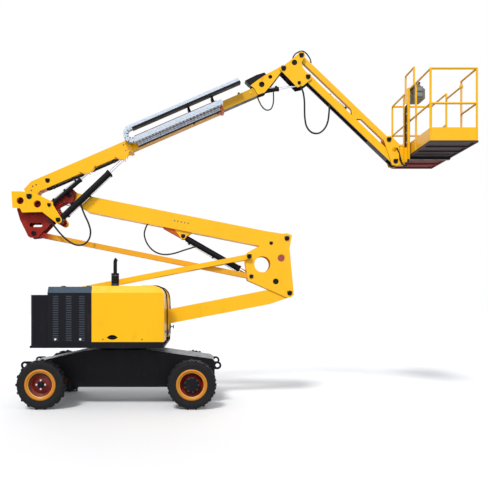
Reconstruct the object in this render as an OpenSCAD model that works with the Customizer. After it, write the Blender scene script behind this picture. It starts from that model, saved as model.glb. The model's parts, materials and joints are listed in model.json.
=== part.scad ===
// Self-propelled articulating boom lift, millimetres.
// Built about the slew axis (x = 0, z = 0 on the ground, +x to the platform),
// then moved so that the origin is the middle of the footprint.

/* [Wheels] */
// Tyre outside diameter
tyre_d = 780; // [700:10:860]
// Tyre width
tyre_w = 210; // [180:5:240]
// Bead seat radius, where tyre and rim meet
seat_r = 225; // [200:5:240]
// Number of tread lugs on each shoulder
lugs = 18; // [12:1:24]
// Half the wheelbase
axle_x = 1186; // [1000:1:1400]
// Outer face of the tyres from the centre line
track_y = 1000; // [900:10:1100]
// Kingpin distance from the centre line
kingpin_y = 700; // [650:10:720]

/* [Chassis] */
// Half width of the chassis box
chassis_y = 450; // [400:10:500]
// Radius of a tie-down eye
eye_r = 32; // [20:1:40]

/* [Turntable] */
// Half width of the turntable
turn_y = 1000; // [900:10:1100]
// Half width of the middle channel that the arms fold into
channel_y = 390; // [330:10:420]
// Top of the deck plate
deck_z = 1005; // [990:5:1030]
// Top of the hoods
hood_z = 1943; // [1850:1:2000]
// Tail of the counterweight, behind the slew axis
tail_x = 1344; // [1250:1:1400]
// Front of the hoods, ahead of the slew axis
front_x = 754; // [700:1:800]
// Sheet thickness of hoods and covers
sheet = 12; // [6:1:16]
// Louvre slots in each column
louvres = 20; // [12:1:24]

/* [Riser arms] */
// Lower arm length between its pins
low_len = 3300; // [3000:10:3600]
// Lower arm angle above level
low_deg = 11; // [5:0.1:20]
// Upper arm length between its pins
up_len = 3793; // [3500:1:4000]
// Upper arm angle above level
up_deg = 11.2; // [5:0.1:20]
// Half width of both arms
arm_y = 110; // [90:5:110]
// Wall of the arm boxes
wall = 10; // [8:1:14]

/* [Boom] */
// Boom angle above level
boom_deg = 23.4; // [10:0.1:40]
// Height of the boom axis above the foot pin, square to the boom
boom_up = 166; // [150:1:180]
// Half depth and half width of the base tube
base_h = 105; // [100:1:110]
// Half depth and half width of the middle tube
mid_h = 90; // [88:1:92]
// Half depth and half width of the fly tube
fly_h = 75; // [70:1:78]

/* [Jib] */
// Jib length between its pins
jib_len = 2173; // [1900:1:2300]
// Jib angle above level
jib_deg = -43.85; // [-60:0.1:0]

/* [Platform] */
// Rotator axis from the slew axis
turn_axis_x = 4800; // [4750:5:4850]
// Side of the platform that faces the boom
deck_x = 4935; // [4930:5:4960]
// Platform depth along the machine
deck_len = 765; // [700:5:900]
// Platform length across the machine
deck_wide = 1850; // [1700:10:2000]
// Underside of the platform
floor_z = 4204; // [4150:2:4300]
// Height of the top rail above the underside
rail_h = 1187; // [1100:1:1250]
// Rail tube radius
rail_r = 17; // [15:1:20]

/* [Pins] */
// Radius of the large pins
pin_r = 30; // [25:1:32]
// Radial running clearance in every pin joint
fit = 0.1; // [0.05:0.01:0.1]
// Part to show, or all of them

/* [Hidden] */
$fn = 32;
big = 6000;
// Places in x and z, from the slew axis.
arm_foot = [-390, 1213];
link_foot = [-1084, 1834];
function ahead(p, len, deg) = p + len * [cos(deg), sin(deg)];
// Upright pins: A lower arm, B lower link, C upper link, D upper arm.
pin_a = ahead(arm_foot, low_len, low_deg);
pin_b = pin_a + link_foot - arm_foot;
pin_c = pin_a + [-655, 284];
pin_d = pin_a + [-46, 934];
// Top upright pins: E upper arm, F upper link, G boom, H and J cylinder feet.
pin_e = ahead(pin_d, up_len, 180 - up_deg);
pin_f = pin_e + pin_c - pin_d;
pin_g = pin_e + [-645, -46];
pin_h = pin_e + [-157, -441];
pin_j = pin_e + [-309, -188];
// Cylinder places.
riser_foot = pin_d + [-1777, 43];
riser_eye = pin_a + [-519, 227];
cyl_y = -195;
wheel_y = track_y - tyre_w / 2;
// Boom places, along and square to the boom from its foot pin.
function on_boom(x, z) = pin_g + x * [cos(boom_deg), sin(boom_deg)] + z * [-sin(boom_deg), cos(boom_deg)];
lift_x = 1727;
lift_z = -30;
master_x = 1082;
master_z = -5;
base_end = 1914;
mid_end = 3620;
fly_end = 4260;
neck = on_boom(4840, 328);
slave_foot = on_boom(4166, 181);
// Knuckle and jib places.
knee_up = neck + [306, 226];
knee_low = neck + [419, -145];
slave_eye = neck + [267, -248];
head_low = ahead(knee_low, jib_len - 90, jib_deg);
head_up = head_low + knee_up - knee_low;
jib_eye = knee_up + [929, -1045];
// The frame's origin is half way between the plate at the tail and the platform's rail.
tail_plate = pin_g[0] - 300;
mid_x = (tail_plate + deck_x + deck_len) / 2;

module placed() {
    translate([-mid_x, 0, 0]) children();
}

// A flat outline in x and z, given its thickness across the machine.
module side(y0, y1) {
    translate([0, y1, 0]) rotate([90, 0, 0]) linear_extrude(y1 - y0) children();
}

module both(y0, y1) {
    side(y0, y1) children();
    side(-y1, -y0) children();
}

module at(p) {
    translate(p) children();
}

module dot(p, r) {
    translate(p) circle(r);
}

// A strip with round ends.
module strip(p, q, r) {
    translate(p) rotate(atan2(q[1] - p[1], q[0] - p[0])) translate([0, -r])
        square([norm(q - p), 2 * r]);
    dot(p, r);
    dot(q, r);
}

module pin(p, r, y0, y1) {
    translate([p[0], y1, p[1]]) rotate([90, 0, 0]) cylinder(r = r, h = y1 - y0);
}

module post(x, y, r, z0, z1) {
    translate([x, y, z0]) cylinder(r = r, h = z1 - z0);
}

// Local x runs from p at an angle above level.
module along(p, deg) {
    translate([p[0], 0, p[1]]) rotate([0, -deg, 0]) children();
}

module block(x0, x1, y0, y1, z0, z1) {
    translate([x0, y0, z0]) cube([x1 - x0, y1 - y0, z1 - z0]);
}

module box_tube(x0, x1, h, t, up) {
    difference() {
        block(x0, x1, -h, h, up - h, up + h);
        block(x0 - 1, x1 + 1, t - h, h - t, up - h + t, up + h - t);
    }
}

// An arm's side: tapered at both ends, its middle off the pin line by off.
module arm_side(len, r, taper, half, off, cut) {
    polygon([
        [-cut, r], [taper, off + half], [len - taper, off + half], [len + cut, r],
        [len + cut, -r], [len - taper, off - half], [taper, off - half], [-cut, -r]
    ]);
}

module arm(p, deg, len, half, off, r) {
    along(p, deg) difference() {
        union() {
            difference() {
                side(-arm_y, arm_y) {
                    arm_side(len, r, 360, half, off, 0);
                    dot([0, 0], r);
                    dot([len, 0], r);
                }
                side(wall - arm_y, arm_y - wall)
                    arm_side(len, r - wall, 360, half - wall, off, 2 * r);
            }
            pin([0, 0], r - 14, -arm_y, arm_y);
            pin([len, 0], r - 14, -arm_y, arm_y);
        }
        pin([0, 0], pin_r + fit, -big, big);
        pin([len, 0], pin_r + fit, -big, big);
    }
}

module link(p, deg, len, half, y0, y1) {
    along(p, deg) both(y0, y1) difference() {
        strip([0, 0], [len, 0], half);
        circle(pin_r + fit);
        dot([len, 0], pin_r + fit);
    }
}

// Wheels

module tyre(x, y) {
    r = tyre_d / 2;
    h = tyre_w / 2;
    translate([x, y, r]) rotate([90, 0, 0]) {
        rotate_extrude($fn = 64) polygon([
            [seat_r, -h + 20], [seat_r + 12, -h + 8], [r - 70, -h], [r - 34, -h + 6],
            [r - 16, -h + 30], [r - 12, 0], [r - 16, h - 30], [r - 34, h - 6],
            [r - 70, h], [seat_r + 12, h - 8], [seat_r, h - 20]
        ]);
        for (i = [0 : lugs - 1], s = [0, 1]) rotate(360 / lugs * (i + s / 2))
            translate([r - 62, 0, 0]) mirror([0, 0, s]) rotate([90, 0, 0])
                translate([0, 0, -18]) linear_extrude(36) polygon([
                    [0, 4], [50, 4], [62, 14], [62, h - 24], [46, h - 8], [0, h - 8]
                ]);
    }
}

module rim(x, y, out, drive) {
    hub_r = drive ? 118 : 74;
    translate([x, y, tyre_d / 2]) rotate([out * -90, 0, 0]) {
        rotate_extrude($fn = 64) polygon([
            [seat_r - 8, -85], [seat_r, -85], [seat_r, 85], [seat_r + 10, 97],
            [seat_r + 2, 102], [seat_r - 14, 88], [seat_r - 14, 20], [150, -6], [hub_r - 4, 14],
            [hub_r - 4, 4], [150, -16], [seat_r - 22, 8], [seat_r - 14, -20]
        ]);
        difference() {
            union() {
                translate([0, 0, -20]) cylinder(r = hub_r, h = drive ? 96 : 60);
                if (drive) translate([0, 0, 76]) cylinder(r1 = 96, r2 = 84, h = 26);
                if (!drive) translate([0, 0, 40]) cylinder(r = 46, h = 34);
                for (i = [0 : drive ? 8 : 4])
                    rotate(i * 360 / (drive ? 9 : 5)) translate([drive ? 104 : 60, 0, 0])
                        cylinder(r = 9, h = drive ? 88 : 54, $fn = 6);
            }
            translate([0, 0, -21]) cylinder(r = 40 + fit, h = 61);
        }
    }
}

module tyre_steer_near() { color([0.05, 0.05, 0.05]) placed() tyre(-axle_x, -wheel_y); }
module tyre_steer_far() { color([0.05, 0.05, 0.05]) placed() tyre(-axle_x, wheel_y); }
module tyre_drive_near() { color([0.05, 0.05, 0.05]) placed() tyre(axle_x, -wheel_y); }
module tyre_drive_far() { color([0.05, 0.05, 0.05]) placed() tyre(axle_x, wheel_y); }
module rim_steer_near() { color([0.5, 0.12, 0.03]) placed() rim(-axle_x, -wheel_y, -1, false); }
module rim_steer_far() { color([0.5, 0.12, 0.03]) placed() rim(-axle_x, wheel_y, 1, false); }
module rim_drive_near() { color([0.5, 0.12, 0.03]) placed() rim(axle_x, -wheel_y, -1, true); }
module rim_drive_far() { color([0.5, 0.12, 0.03]) placed() rim(axle_x, wheel_y, 1, true); }

// Chassis

module eye_plate(x, dir) {
    for (s = [-1, 1]) translate([x, s * (chassis_y - 12), 640]) difference() {
        union() {
            rotate([90, 0, 0]) cylinder(r = 66, h = 24, center = true);
            translate([dir > 0 ? -110 : 0, -12, -66]) cube([110, 24, 132]);
        }
        rotate([90, 0, 0]) cylinder(r = eye_r, h = 40, center = true);
    }
}

module chassis() {
    color([0.06, 0.06, 0.07]) placed() {
        difference() {
            side(-chassis_y, chassis_y) polygon([
                [-718, 281], [773, 281], [1240, 300], [1560, 387], [1560, 706], [1514, 750],
                [1152, 799], [493, 892], [-466, 892], [-742, 849], [-1320, 717], [-1500, 690],
                [-1500, 470], [-1320, 440], [-900, 470]
            ]);
            block(-640, 640, -chassis_y + 24, chassis_y - 24, 305, 860);
            side(-big, big) translate([axle_x, tyre_d / 2]) circle(112.3, $fn = 64);
        }
        eye_plate(-1585, -1);
        eye_plate(1605, 1);
        post(0, 0, 400, 891, 919.7);
    }
}

module steps() {
    color([0.06, 0.06, 0.07]) placed() both(380, 400) difference() {
        polygon([[-880, 200], [-720, 200], [-720, 282.7], [-880, 448.9]]);
        polygon([[-850, 220], [-750, 220], [-750, 270], [-850, 374]]);
    }
}

module axles() {
    color([0.06, 0.06, 0.07]) placed() {
        z = tyre_d / 2;
        translate([-axle_x, 0, z]) {
            difference() {
                block(-70, 70, -kingpin_y - 60, kingpin_y + 60, -98, 98);
                for (s = [-1, 1]) block(-71, 71, s > 0 ? kingpin_y - 66 : -big,
                    s > 0 ? big : 66 - kingpin_y, -66, 66);
                block(-71, 71, 66 - kingpin_y - 60, kingpin_y - 66 + 60, 80, 120);
                block(-80, 80, -chassis_y, chassis_y, 40, 120);
            }
            for (s = [-1, 1]) translate([0, s * kingpin_y, -98]) cylinder(r = 25, h = 196);
        }
        for (s = [-1, 1]) translate([axle_x, 0, z]) rotate([s * -90, 0, 0]) {
            cylinder(r = 80, h = wheel_y - 40);
            cylinder(r = 112, h = 520, $fn = 64);
            translate([0, 0, 560]) cylinder(r = 125, h = 150);
            cylinder(r = 40, h = wheel_y + 35);
        }
    }
}

module knuckle(s) {
    color([0.1, 0.1, 0.11]) placed() translate([-axle_x, s * kingpin_y, tyre_d / 2])
        difference() {
            union() {
                translate([0, 0, -60]) cylinder(r = 55, h = 120);
                rotate([s * -90, 0, 0]) cylinder(r = 50, h = wheel_y - kingpin_y - 26);
                rotate([s * -90, 0, 0]) cylinder(r = 40, h = wheel_y - kingpin_y + 35);
            }
            translate([0, 0, -61]) cylinder(r = 25 + fit, h = 122);
        }
}

module knuckle_near() { knuckle(-1); }
module knuckle_far() { knuckle(1); }

// Turntable

module deck() {
    color([0.55, 0.57, 0.57]) placed() {
        post(0, 0, 420, 920, 970);
        block(-tail_x, front_x, -turn_y, turn_y, 970, deck_z);
        for (s = [-1, 1]) {
            y0 = s > 0 ? turn_y - 24 : -turn_y;
            block(274 - tail_x, front_x, y0, y0 + 24, deck_z, 1065);
            y1 = s > 0 ? channel_y : -channel_y - 20;
            block(274 - tail_x, front_x, y1, y1 + 20, deck_z, 1065);
        }
    }
}

module tower() {
    color([0.95, 0.7, 0.02]) placed() {
        both(190, 215) polygon([
            [-1190, deck_z], [-200, deck_z], [-270, 1290], [-350, 1350], [-440, 1350],
            [-980, 1840], [-1020, 1900], [-1084, 1920], [-1150, 1900], [-1170, 1834]
        ]);
        pin(arm_foot, pin_r, -215, 215);
        for (s = [-1, 1]) pin(link_foot, pin_r, s > 0 ? 130 : -215, s > 0 ? 215 : -130);
        block(-1180, -700, -190, 190, deck_z, deck_z + 20);
    }
}

module counterweight() {
    color([0.05, 0.05, 0.06]) placed() difference() {
        intersection() {
            block(-tail_x, 274 - tail_x, -turn_y, turn_y, deck_z, 1800);
            union() {
                block(90 - tail_x, 0, -turn_y, turn_y, 0, 3000);
                block(-tail_x, 0, 90 - turn_y, turn_y - 90, 0, 3000);
                for (s = [-1, 1]) post(90 - tail_x, s * (turn_y - 90), 90, 0, 3000);
            }
        }
        block(-2 * tail_x, 0, -channel_y, channel_y, deck_z + 75, 3000);
        block(140 - tail_x, 0, -channel_y, channel_y, 0, 3000);
    }
}

// Shoulder outline across the machine, s is the side.
module shoulder(x0, x1, s, gap, top, drop) {
    translate([x0, 0, 0]) rotate([90, 0, 90]) linear_extrude(x1 - x0) polygon([
        [s * (channel_y + gap), 1065 - 100 * sign(gap)], [s * (turn_y - gap), 1065 - 100 * sign(gap)],
        [s * (turn_y - gap), top - drop - gap / 2], [s * (turn_y - 60 - gap), top - gap],
        [s * (channel_y + gap), top - gap]
    ]);
}

module hood(s) {
    difference() {
        intersection() {
            shoulder(-378, front_x, s, 0, hood_z, 110);
            side(-big, big) {
                square([front_x - 175, hood_z]);
                translate([-500, 0]) square([600, hood_z]);
                square([front_x, hood_z - 175]);
                dot([front_x - 175, hood_z - 175], 175);
            }
        }
        intersection() {
            shoulder(-378 + sheet, front_x - sheet, s, sheet, hood_z, 110);
            side(-big, big) {
                translate([-500, 0]) square([front_x + 325, hood_z]);
                square([front_x, hood_z - 175]);
                dot([front_x - 175, hood_z - 175], 175 - sheet);
            }
        }
        translate([-55, s * turn_y, 1130]) rotate([90, 0, 0]) linear_extrude(2 * sheet + 10, center = true)
            intersection() {
                translate([0, -60]) circle(105);
                translate([0, 100]) circle(130);
            }
    }
}

module hood_near() { color([1, 0.76, 0.02]) placed() hood(-1); }
module hood_far() { color([1, 0.76, 0.02]) placed() hood(1); }

module cover(s) {
    x0 = 274 - tail_x + 3;
    difference() {
        shoulder(x0, -381, s, 0, 1930, 97);
        shoulder(x0 + sheet, -381 - sheet, s, sheet, 1930, 97);
        for (c = [0, 1, 2], i = [0 : louvres - 1])
            block(x0 + 85 + c * 205, x0 + 170 + c * 205, s > 0 ? turn_y - 20 : -turn_y - 1,
                s > 0 ? turn_y + 1 : 20 - turn_y, 1080 + i * 36, 1096 + i * 36);
    }
}

module cover_near() { color([0.08, 0.08, 0.1]) placed() cover(-1); }
module cover_far() { color([0.08, 0.08, 0.1]) placed() cover(1); }

module front_panel() {
    color([0.75, 0.77, 0.76]) placed() difference() {
        block(front_x, front_x + 14, channel_y + 15, turn_y - 15, 1075, 1750);
        block(front_x - 1, front_x + 20, channel_y + 120, turn_y - 120, 1300, 1600);
    }
}

module exhaust() {
    color([0.1, 0.1, 0.1]) placed() translate([-73, -550, 0]) {
        translate([0, 0, hood_z]) cylinder(r = 63, h = 217);
        translate([0, 0, hood_z + 217]) cylinder(r = 30, h = 180);
        translate([0, 0, hood_z + 397]) rotate([0, 0, 180]) translate([-70, 0, 0]) rotate([90, 0, 0])
            rotate_extrude(angle = 50, $fn = 32) translate([70, 0]) circle(30);
    }
}

module engine() {
    color([0.3, 0.3, 0.3]) placed() {
        block(-960, -480, 470, 900, deck_z, 1640);
        post(-720, 680, 90, 1640, 1760);
        block(-960, -480, -900, -470, deck_z, 1500);
        block(-240, 620, 470, 900, deck_z, 1560);
        block(-240, 620, -900, -470, deck_z, 1560);
    }
}

// Riser arms

module lower_arm() {
    color([1, 0.76, 0.02]) placed() arm(arm_foot, low_deg, low_len, 123, 0, 70);
}

module lower_link() {
    color([1, 0.76, 0.02]) placed() {
        link(link_foot, low_deg, low_len, 42, 138, 180);
    }
}

module mid_upright() {
    color([1, 0.76, 0.02]) placed() {
        difference() {
            both(116, 132) at(pin_a) polygon([
                [-759, 557], [-765, 650], [-720, 695], [-130, 1010], [-50, 1022], [40, 990],
                [0, 760], [74, -30], [20, -78], [-49, -78], [-715, 215]
            ]);
            at([pin_a[0], 0, pin_a[1]]) {
                pin([-465, 491], 137, -big, big);
                pin([-142, 594], 68, -big, big);
                pin([-236, 197], 50, -big, big);
            }
        }
        for (p = [pin_a + [-142, 594], pin_a + [-236, 197]]) difference() {
            pin(p, 68 + 12, -116, 116);
            pin(p, 58, -117, 117);
        }
        pin(pin_a, pin_r, -140, 140);
        pin(pin_d, pin_r, -140, 140);
        for (s = [-1, 1]) {
            pin(pin_b, 44, s > 0 ? 186 : -198, s > 0 ? 198 : -186);
            pin(pin_b, pin_r, s > 0 ? 110 : -196, s > 0 ? 196 : -110);
            pin(pin_c, pin_r, s > 0 ? 66 : -140, s > 0 ? 140 : -66);
            pin(riser_eye, 42, s > 0 ? 44 : -116, s > 0 ? 116 : -44);
        }
    }
}

module upper_arm() {
    color([1, 0.76, 0.02]) placed() {
        mirror([1, 0, 0]) arm([-pin_d[0], pin_d[1]], up_deg, up_len, 135, -80, 70);
        difference() {
            both(66, 82) polygon([
                riser_foot + [-60, 0], riser_foot + [-180, 160], riser_foot + [180, 80],
                riser_foot + [60, 0], riser_foot + [30, -50], riser_foot + [-30, -50]
            ]);
            along([0, 0], 0) pin(riser_foot, 20, -60, 60);
        }
        pin(riser_foot, pin_r, -82, 82);
    }
}

module upper_link() {
    color([0.85, 0.35, 0.05]) placed() link(pin_f, -up_deg, up_len, 42, 72, 110);
}

module top_upright() {
    color([0.5, 0.03, 0.02]) placed() {
        difference() {
            both(116, 131) {
                at(pin_g) polygon([
                    [-249, 30], [-249, -205], [-198, -376], [-60, -655], [-20, -680], [110, -667],
                    [383, -376], [401, -94], [120, 40]
                ]);
                dot(pin_f, 64);
                strip(pin_j + [-60, 0], pin_e, 62);
                dot(pin_e, 120);
                polygon([
                    pin_g + [250, -80], pin_g + [396, -110], pin_h + [50, 27], pin_h + [-36, -46],
                    pin_g + [180, -300]
                ]);
                dot(pin_h, 61);
            }
            side(-big, big) at(pin_g) strip([-10, -462], [150, -462], 34);
        }
        difference() {
            both(262, 277) {
                at(pin_g) polygon([
                    [-300, 86], [-129, 86], [144, 34], [401, -94], [401, -256], [-121, -270],
                    [-155, -200], [-283, -188]
                ]);
                polygon([
                    pin_g + [250, -110], pin_g + [390, -120], pin_h + [50, 30], pin_h + [-36, -46],
                    pin_g + [180, -230]
                ]);
                dot(pin_h, 61);
            }
            side(-big, big) {
                dot(pin_g + [-153, -70], 60);
                dot(pin_g + [137, -126], 62);
            }
        }
        for (p = [pin_g + [-153, -70], pin_g + [137, -126]], s = [-1, 1]) difference() {
            pin(p, 76, s > 0 ? 131 : -262, s > 0 ? 262 : -131);
            pin(p, 62, s > 0 ? 120 : -270, s > 0 ? 270 : -120);
        }
        side(-116, 116) at(pin_g) polygon([
            [-236, -230], [-186, -380], [-68, -610], [-54, -612], [-172, -384], [-222, -230]
        ]);
        pin(pin_e, pin_r, -140, 140);
        pin(pin_f, pin_r, -140, 140);
        pin(pin_g, pin_r, -277, 277);
        pin(pin_h, pin_r, -284, -122);
        pin(pin_j, 24, -284, -122);
    }
}

// Boom

module clevis(x, z, r) {
    for (y = [-155, -250]) side(y, y + 14) polygon([
        [x - 150, boom_up - base_h], [x + 150, boom_up - base_h], [x + 110, boom_up - base_h - 40],
        [x + r, z - 10], [x, z - r], [x - r, z - 10], [x - 110, boom_up - base_h - 40]
    ]);
    for (dx = [-150, 104]) block(x + dx, x + dx + 46, -250, -90, boom_up - base_h - 14, boom_up - base_h);
}

// Wear pads inside the mouth of a tube, 0.3 mm off the tube that runs in it.
module pads(x, inner, outer) {
    gap = outer + 0.3;
    for (s = [-1, 1]) {
        block(x, x + 56, s > 0 ? gap : -inner - 1, s > 0 ? inner + 1 : -gap, boom_up - 50, boom_up + 50);
        block(x, x + 56, -50, 50, boom_up + (s > 0 ? gap : -inner - 1), boom_up + (s > 0 ? inner + 1 : -gap));
    }
}

module boom_base() {
    color([1, 0.76, 0.02]) placed() along(pin_g, boom_deg) {
        box_tube(160, base_end, base_h, 8, boom_up);
        difference() {
            side(-base_h, base_h) {
                polygon([
                    [-62, -20], [-70, 60], [-66, 200], [96, boom_up + base_h], [161, boom_up + base_h],
                    [161, boom_up - base_h], [96, 20], [62, -20]
                ]);
                circle(66);
            }
            side(20 - base_h, base_h - 20) polygon([
                [-100, 84], [-100, 200], [96, boom_up + base_h - 12], [200, boom_up + base_h - 12],
                [200, boom_up - base_h + 12], [120, 76]
            ]);
            pin([0, 0], pin_r + fit, -big, big);
            pin([210, 170], 26, -big, big);
        }
        difference() {
            block(base_end - 60, base_end, -base_h - 16, base_h + 16, boom_up - base_h - 16,
                boom_up + base_h + 16);
            block(base_end - 61, base_end + 1, -base_h, base_h, boom_up - base_h, boom_up + base_h);
        }
        pads(base_end - 58, base_h - 8, mid_h);
        clevis(lift_x, lift_z, 44);
        clevis(master_x, master_z, 34);
    }
}

module boom_mid() {
    color([1, 0.76, 0.02]) placed() along(pin_g, boom_deg) {
        box_tube(1340, mid_end, mid_h, 7, boom_up);
        pads(mid_end - 48, mid_h - 7, fly_h);
        difference() {
            block(mid_end - 50, mid_end, -mid_h - 14, mid_h + 14, boom_up - mid_h - 14,
                boom_up + mid_h + 14);
            block(mid_end - 51, mid_end + 1, -mid_h, mid_h, boom_up - mid_h, boom_up + mid_h);
        }
    }
}

module chain_tray() {
    color([0.07, 0.07, 0.08]) placed() along(pin_g, boom_deg) {
        difference() {
            block(2050, 4040, -262, -148, 352, 392);
            block(2049, 4041, -256, -154, 358, 400);
        }
        for (x = [3060, 3500]) {
            block(x, x + 40, -148, mid_h - 20, 364, 376);
            for (y = [-60, 50]) block(x, x + 40, y, y + 12, boom_up + mid_h, 364);
        }
    }
}

module drag_chain() {
    color([0.8, 0.82, 0.82]) placed() along(pin_g, boom_deg) {
        block(2010, 4010, -250, -160, 358, 418);
        difference() {
            translate([2010, -160, 278]) rotate([90, 0, 0]) cylinder(r = 140, h = 90);
            translate([2010, -159, 278]) rotate([90, 0, 0]) cylinder(r = 80, h = 92);
            block(2010, 2200, -251, -159, 100, 460);
        }
        block(2010, 3600, -250, -160, 138, 198);
    }
}

module boom_fly() {
    color([1, 0.76, 0.02]) placed() {
        along(pin_g, boom_deg) box_tube(2640, fly_end, fly_h, 7, boom_up);
        difference() {
            union() {
                both(fly_h - 3, fly_h + 16) {
                    at(neck) polygon([
                        [-567, -284], [-500, -330], [-439, -441], [-319, -402], [-244, -313],
                        [-148, -195], [-40, -50], [-40, 45], [-302, -97], [-439, -188]
                    ]);
                    dot(neck, 64);
                }
                for (s = [-1, 1]) pin(neck, 50, s > 0 ? 40 : -fly_h - 2, s > 0 ? fly_h + 2 : -40);
            }
            pin(neck, pin_r + fit, -big, big);
            pin(neck + [-372, -266], 48, -big, big);
            pin(neck + [-225, -136], 34, -big, big);
        }
        pin(slave_foot, 20, -fly_h - 6, fly_h + 6);
        along(pin_g, boom_deg)
            block(fly_end - 300, fly_end - 270, -fly_h + 4, fly_h - 4, boom_up + fly_h - 2, boom_up + fly_h + 30);
    }
}

module jib_knuckle() {
    color([1, 0.76, 0.02]) placed() {
        difference() {
            both(97, 111) {
                at(neck) polygon([
                    [-47, 11], [107, 131], [294, 290], [340, 280], [372, 216], [310, 110], [330, 14],
                    [400, -70], [480, -120], [480, -181], [330, -300], [230, -320], [-20, -60]
                ]);
                dot(neck, 62);
                dot(knee_low, 62);
                dot(knee_up, 62);
                dot(slave_eye, 56);
            }
            side(-big, big) dot(neck + [187, 102], 48);
        }
        difference() {
            pin(neck + [187, 102], 60, -97, 97);
            pin(neck + [187, 102], 48, -98, 98);
        }
        pin(neck, pin_r, -116, 116);
        pin(knee_up, pin_r, -116, 116);
        pin(knee_low, pin_r, -116, 116);
        for (s = [-1, 1]) pin(slave_eye, 22, s > 0 ? 30 : -116, s > 0 ? 116 : -30);
    }
}

// Jib

module jib_arm() {
    color([1, 0.76, 0.02]) placed() along(knee_low, jib_deg) {
        len = norm(head_low - knee_low);
        difference() {
            union() {
                both(48, 85) strip([0, 0], [len, 0], 60);
                pin([len, 0], 52, -48, 48);
                block(1500, len - 120, -48, 48, -60, -46);
            }
            pin([0, 0], pin_r + fit, -big, big);
            pin([len, 0], pin_r + fit, -big, big);
        }
    }
}

module jib_link() {
    len = norm(head_low - knee_low);
    color([1, 0.76, 0.02]) placed() {
        along(knee_up, jib_deg) difference() {
            side(-40, 40) strip([0, 0], [len, 0], 45);
            side(-32, 32) translate([60, -37]) square([len - 120, 74]);
            pin([0, 0], pin_r + fit, -big, big);
            pin([len, 0], pin_r + fit, -big, big);
        }
        both(28, 40) polygon([
            jib_eye + [-36, 0], jib_eye + [-60, 195], jib_eye + [170, -30], jib_eye + [36, -20],
            jib_eye + [0, -36]
        ]);
    }
}

module jib_head() {
    color([1, 0.76, 0.02]) placed() {
        difference() {
            both(91, 105) {
                at(head_low) polygon([
                    [-190, 330], [-190, 420], [-80, 440], [60, 300], [60, -10], [78, -10],
                    [78, -50], [20, -80], [-60, -60]
                ]);
                dot(head_low, 64);
                dot(head_up, 64);
            }
            side(-big, big) dot(head_low + [-20, 200], 40);
        }
        block(head_low[0] + 48, head_low[0] + 60, -91, 91, head_low[1] + 70, head_low[1] + 300);
        block(head_low[0] + 66, head_low[0] + 78, -91, 91, head_low[1] - 50, head_low[1] - 20);
        pin(head_low, pin_r, -112, 112);
        pin(head_up, pin_r, -112, 112);
        for (z = [head_low[1] - 50, head_low[1] + 270]) {
            block(head_low[0] + (z < head_low[1] ? 70 : 50), turn_axis_x, -60, 60, z, z + 30);
            post(turn_axis_x, 0, 60, z, z + 30);
        }
        post(turn_axis_x, 0, 25, head_low[1] - 50, head_low[1] + 300);
    }
}

// Platform

module platform_mount() {
    z0 = head_low[1] - 14;
    z1 = head_low[1] + 264;
    color([0.2, 0.2, 0.2]) placed() difference() {
        union() {
            post(turn_axis_x, 0, 62, z0, z1);
            block(turn_axis_x, deck_x - 45, -40, 40, z0 + 20, z1 - 20);
            for (y = [-75, 40]) block(deck_x - 45, deck_x - 4, y, y + 35, floor_z - 54, floor_z + rail_h - 20);
            block(deck_x - 45, deck_x - 33, -40, 40, floor_z - 54, floor_z + rail_h - 60);
            block(deck_x - 45, deck_x + deck_len - 60, -40, 40, floor_z - 54, floor_z);
        }
        post(turn_axis_x, 0, 25 + fit, z0 - 1, z1 + 1);
    }
}

module rail(x0, y0, x1, y1, z) {
    len = norm([x1 - x0, y1 - y0]);
    translate([x0, y0, z]) rotate([0, 0, atan2(y1 - y0, x1 - x0)]) rotate([0, 90, 0])
        cylinder(r = rail_r, h = len);
}

module platform_rails() {
    x0 = deck_x + rail_r;
    x1 = deck_x + deck_len - rail_r;
    y1 = deck_wide / 2 - rail_r;
    top = floor_z + rail_h - rail_r;
    color([1, 0.76, 0.02]) placed() {
        for (z = [top, top - 550]) {
            rail(x0, -y1, x0, y1, z);
            rail(x0, -y1, x1, -y1, z);
            rail(x0, y1, x1, y1, z);
            rail(x1, -y1, x1, -360, z);
            rail(x1, 230, x1, y1, z);
        }
        for (y = [-y1, -290, 290, y1]) post(x0, y, rail_r, floor_z + 30, top);
        for (y = [-y1, -360, 230, y1]) post(x1, y, rail_r, floor_z + 30, top);
        for (x = [x0, x1], y = [-y1, y1], z = [top, top - 550]) translate([x, y, z]) sphere(rail_r);
        for (y = [-360, 230], z = [top, top - 550]) translate([x1, y, z]) sphere(rail_r);
        for (s = [-1, 1]) {
            block(x0, x1, s * y1 - 3, s * y1 + 3, floor_z + 34, floor_z + 240);
        }
        block(x0 - 3, x0 + 3, -y1, y1, floor_z + 34, floor_z + 240);
        block(x1 - 3, x1 + 3, -y1, -360, floor_z + 34, floor_z + 240);
        block(x1 - 3, x1 + 3, 230, y1, floor_z + 34, floor_z + 240);
        for (y = [-200, 200]) post(x0, y, rail_r, top, top + 300);
        rail(x0, -200, x0, 200, top + 300);
        for (y = [-200, 200]) translate([x0, y, top + 300]) sphere(rail_r);
    }
}

module platform_floor() {
    color([0.12, 0.09, 0.08]) placed() {
        difference() {
            block(deck_x, deck_x + deck_len, -deck_wide / 2, deck_wide / 2, floor_z, floor_z + 30);
            block(deck_x + 30, deck_x + deck_len - 30, 30 - deck_wide / 2, deck_wide / 2 - 30,
                floor_z - 1, floor_z + 22);
        }
        for (y = [-600, -300, 300, 600]) block(deck_x + 30, deck_x + deck_len - 30, y - 15, y + 15,
            floor_z, floor_z + 22);
    }
}

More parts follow.
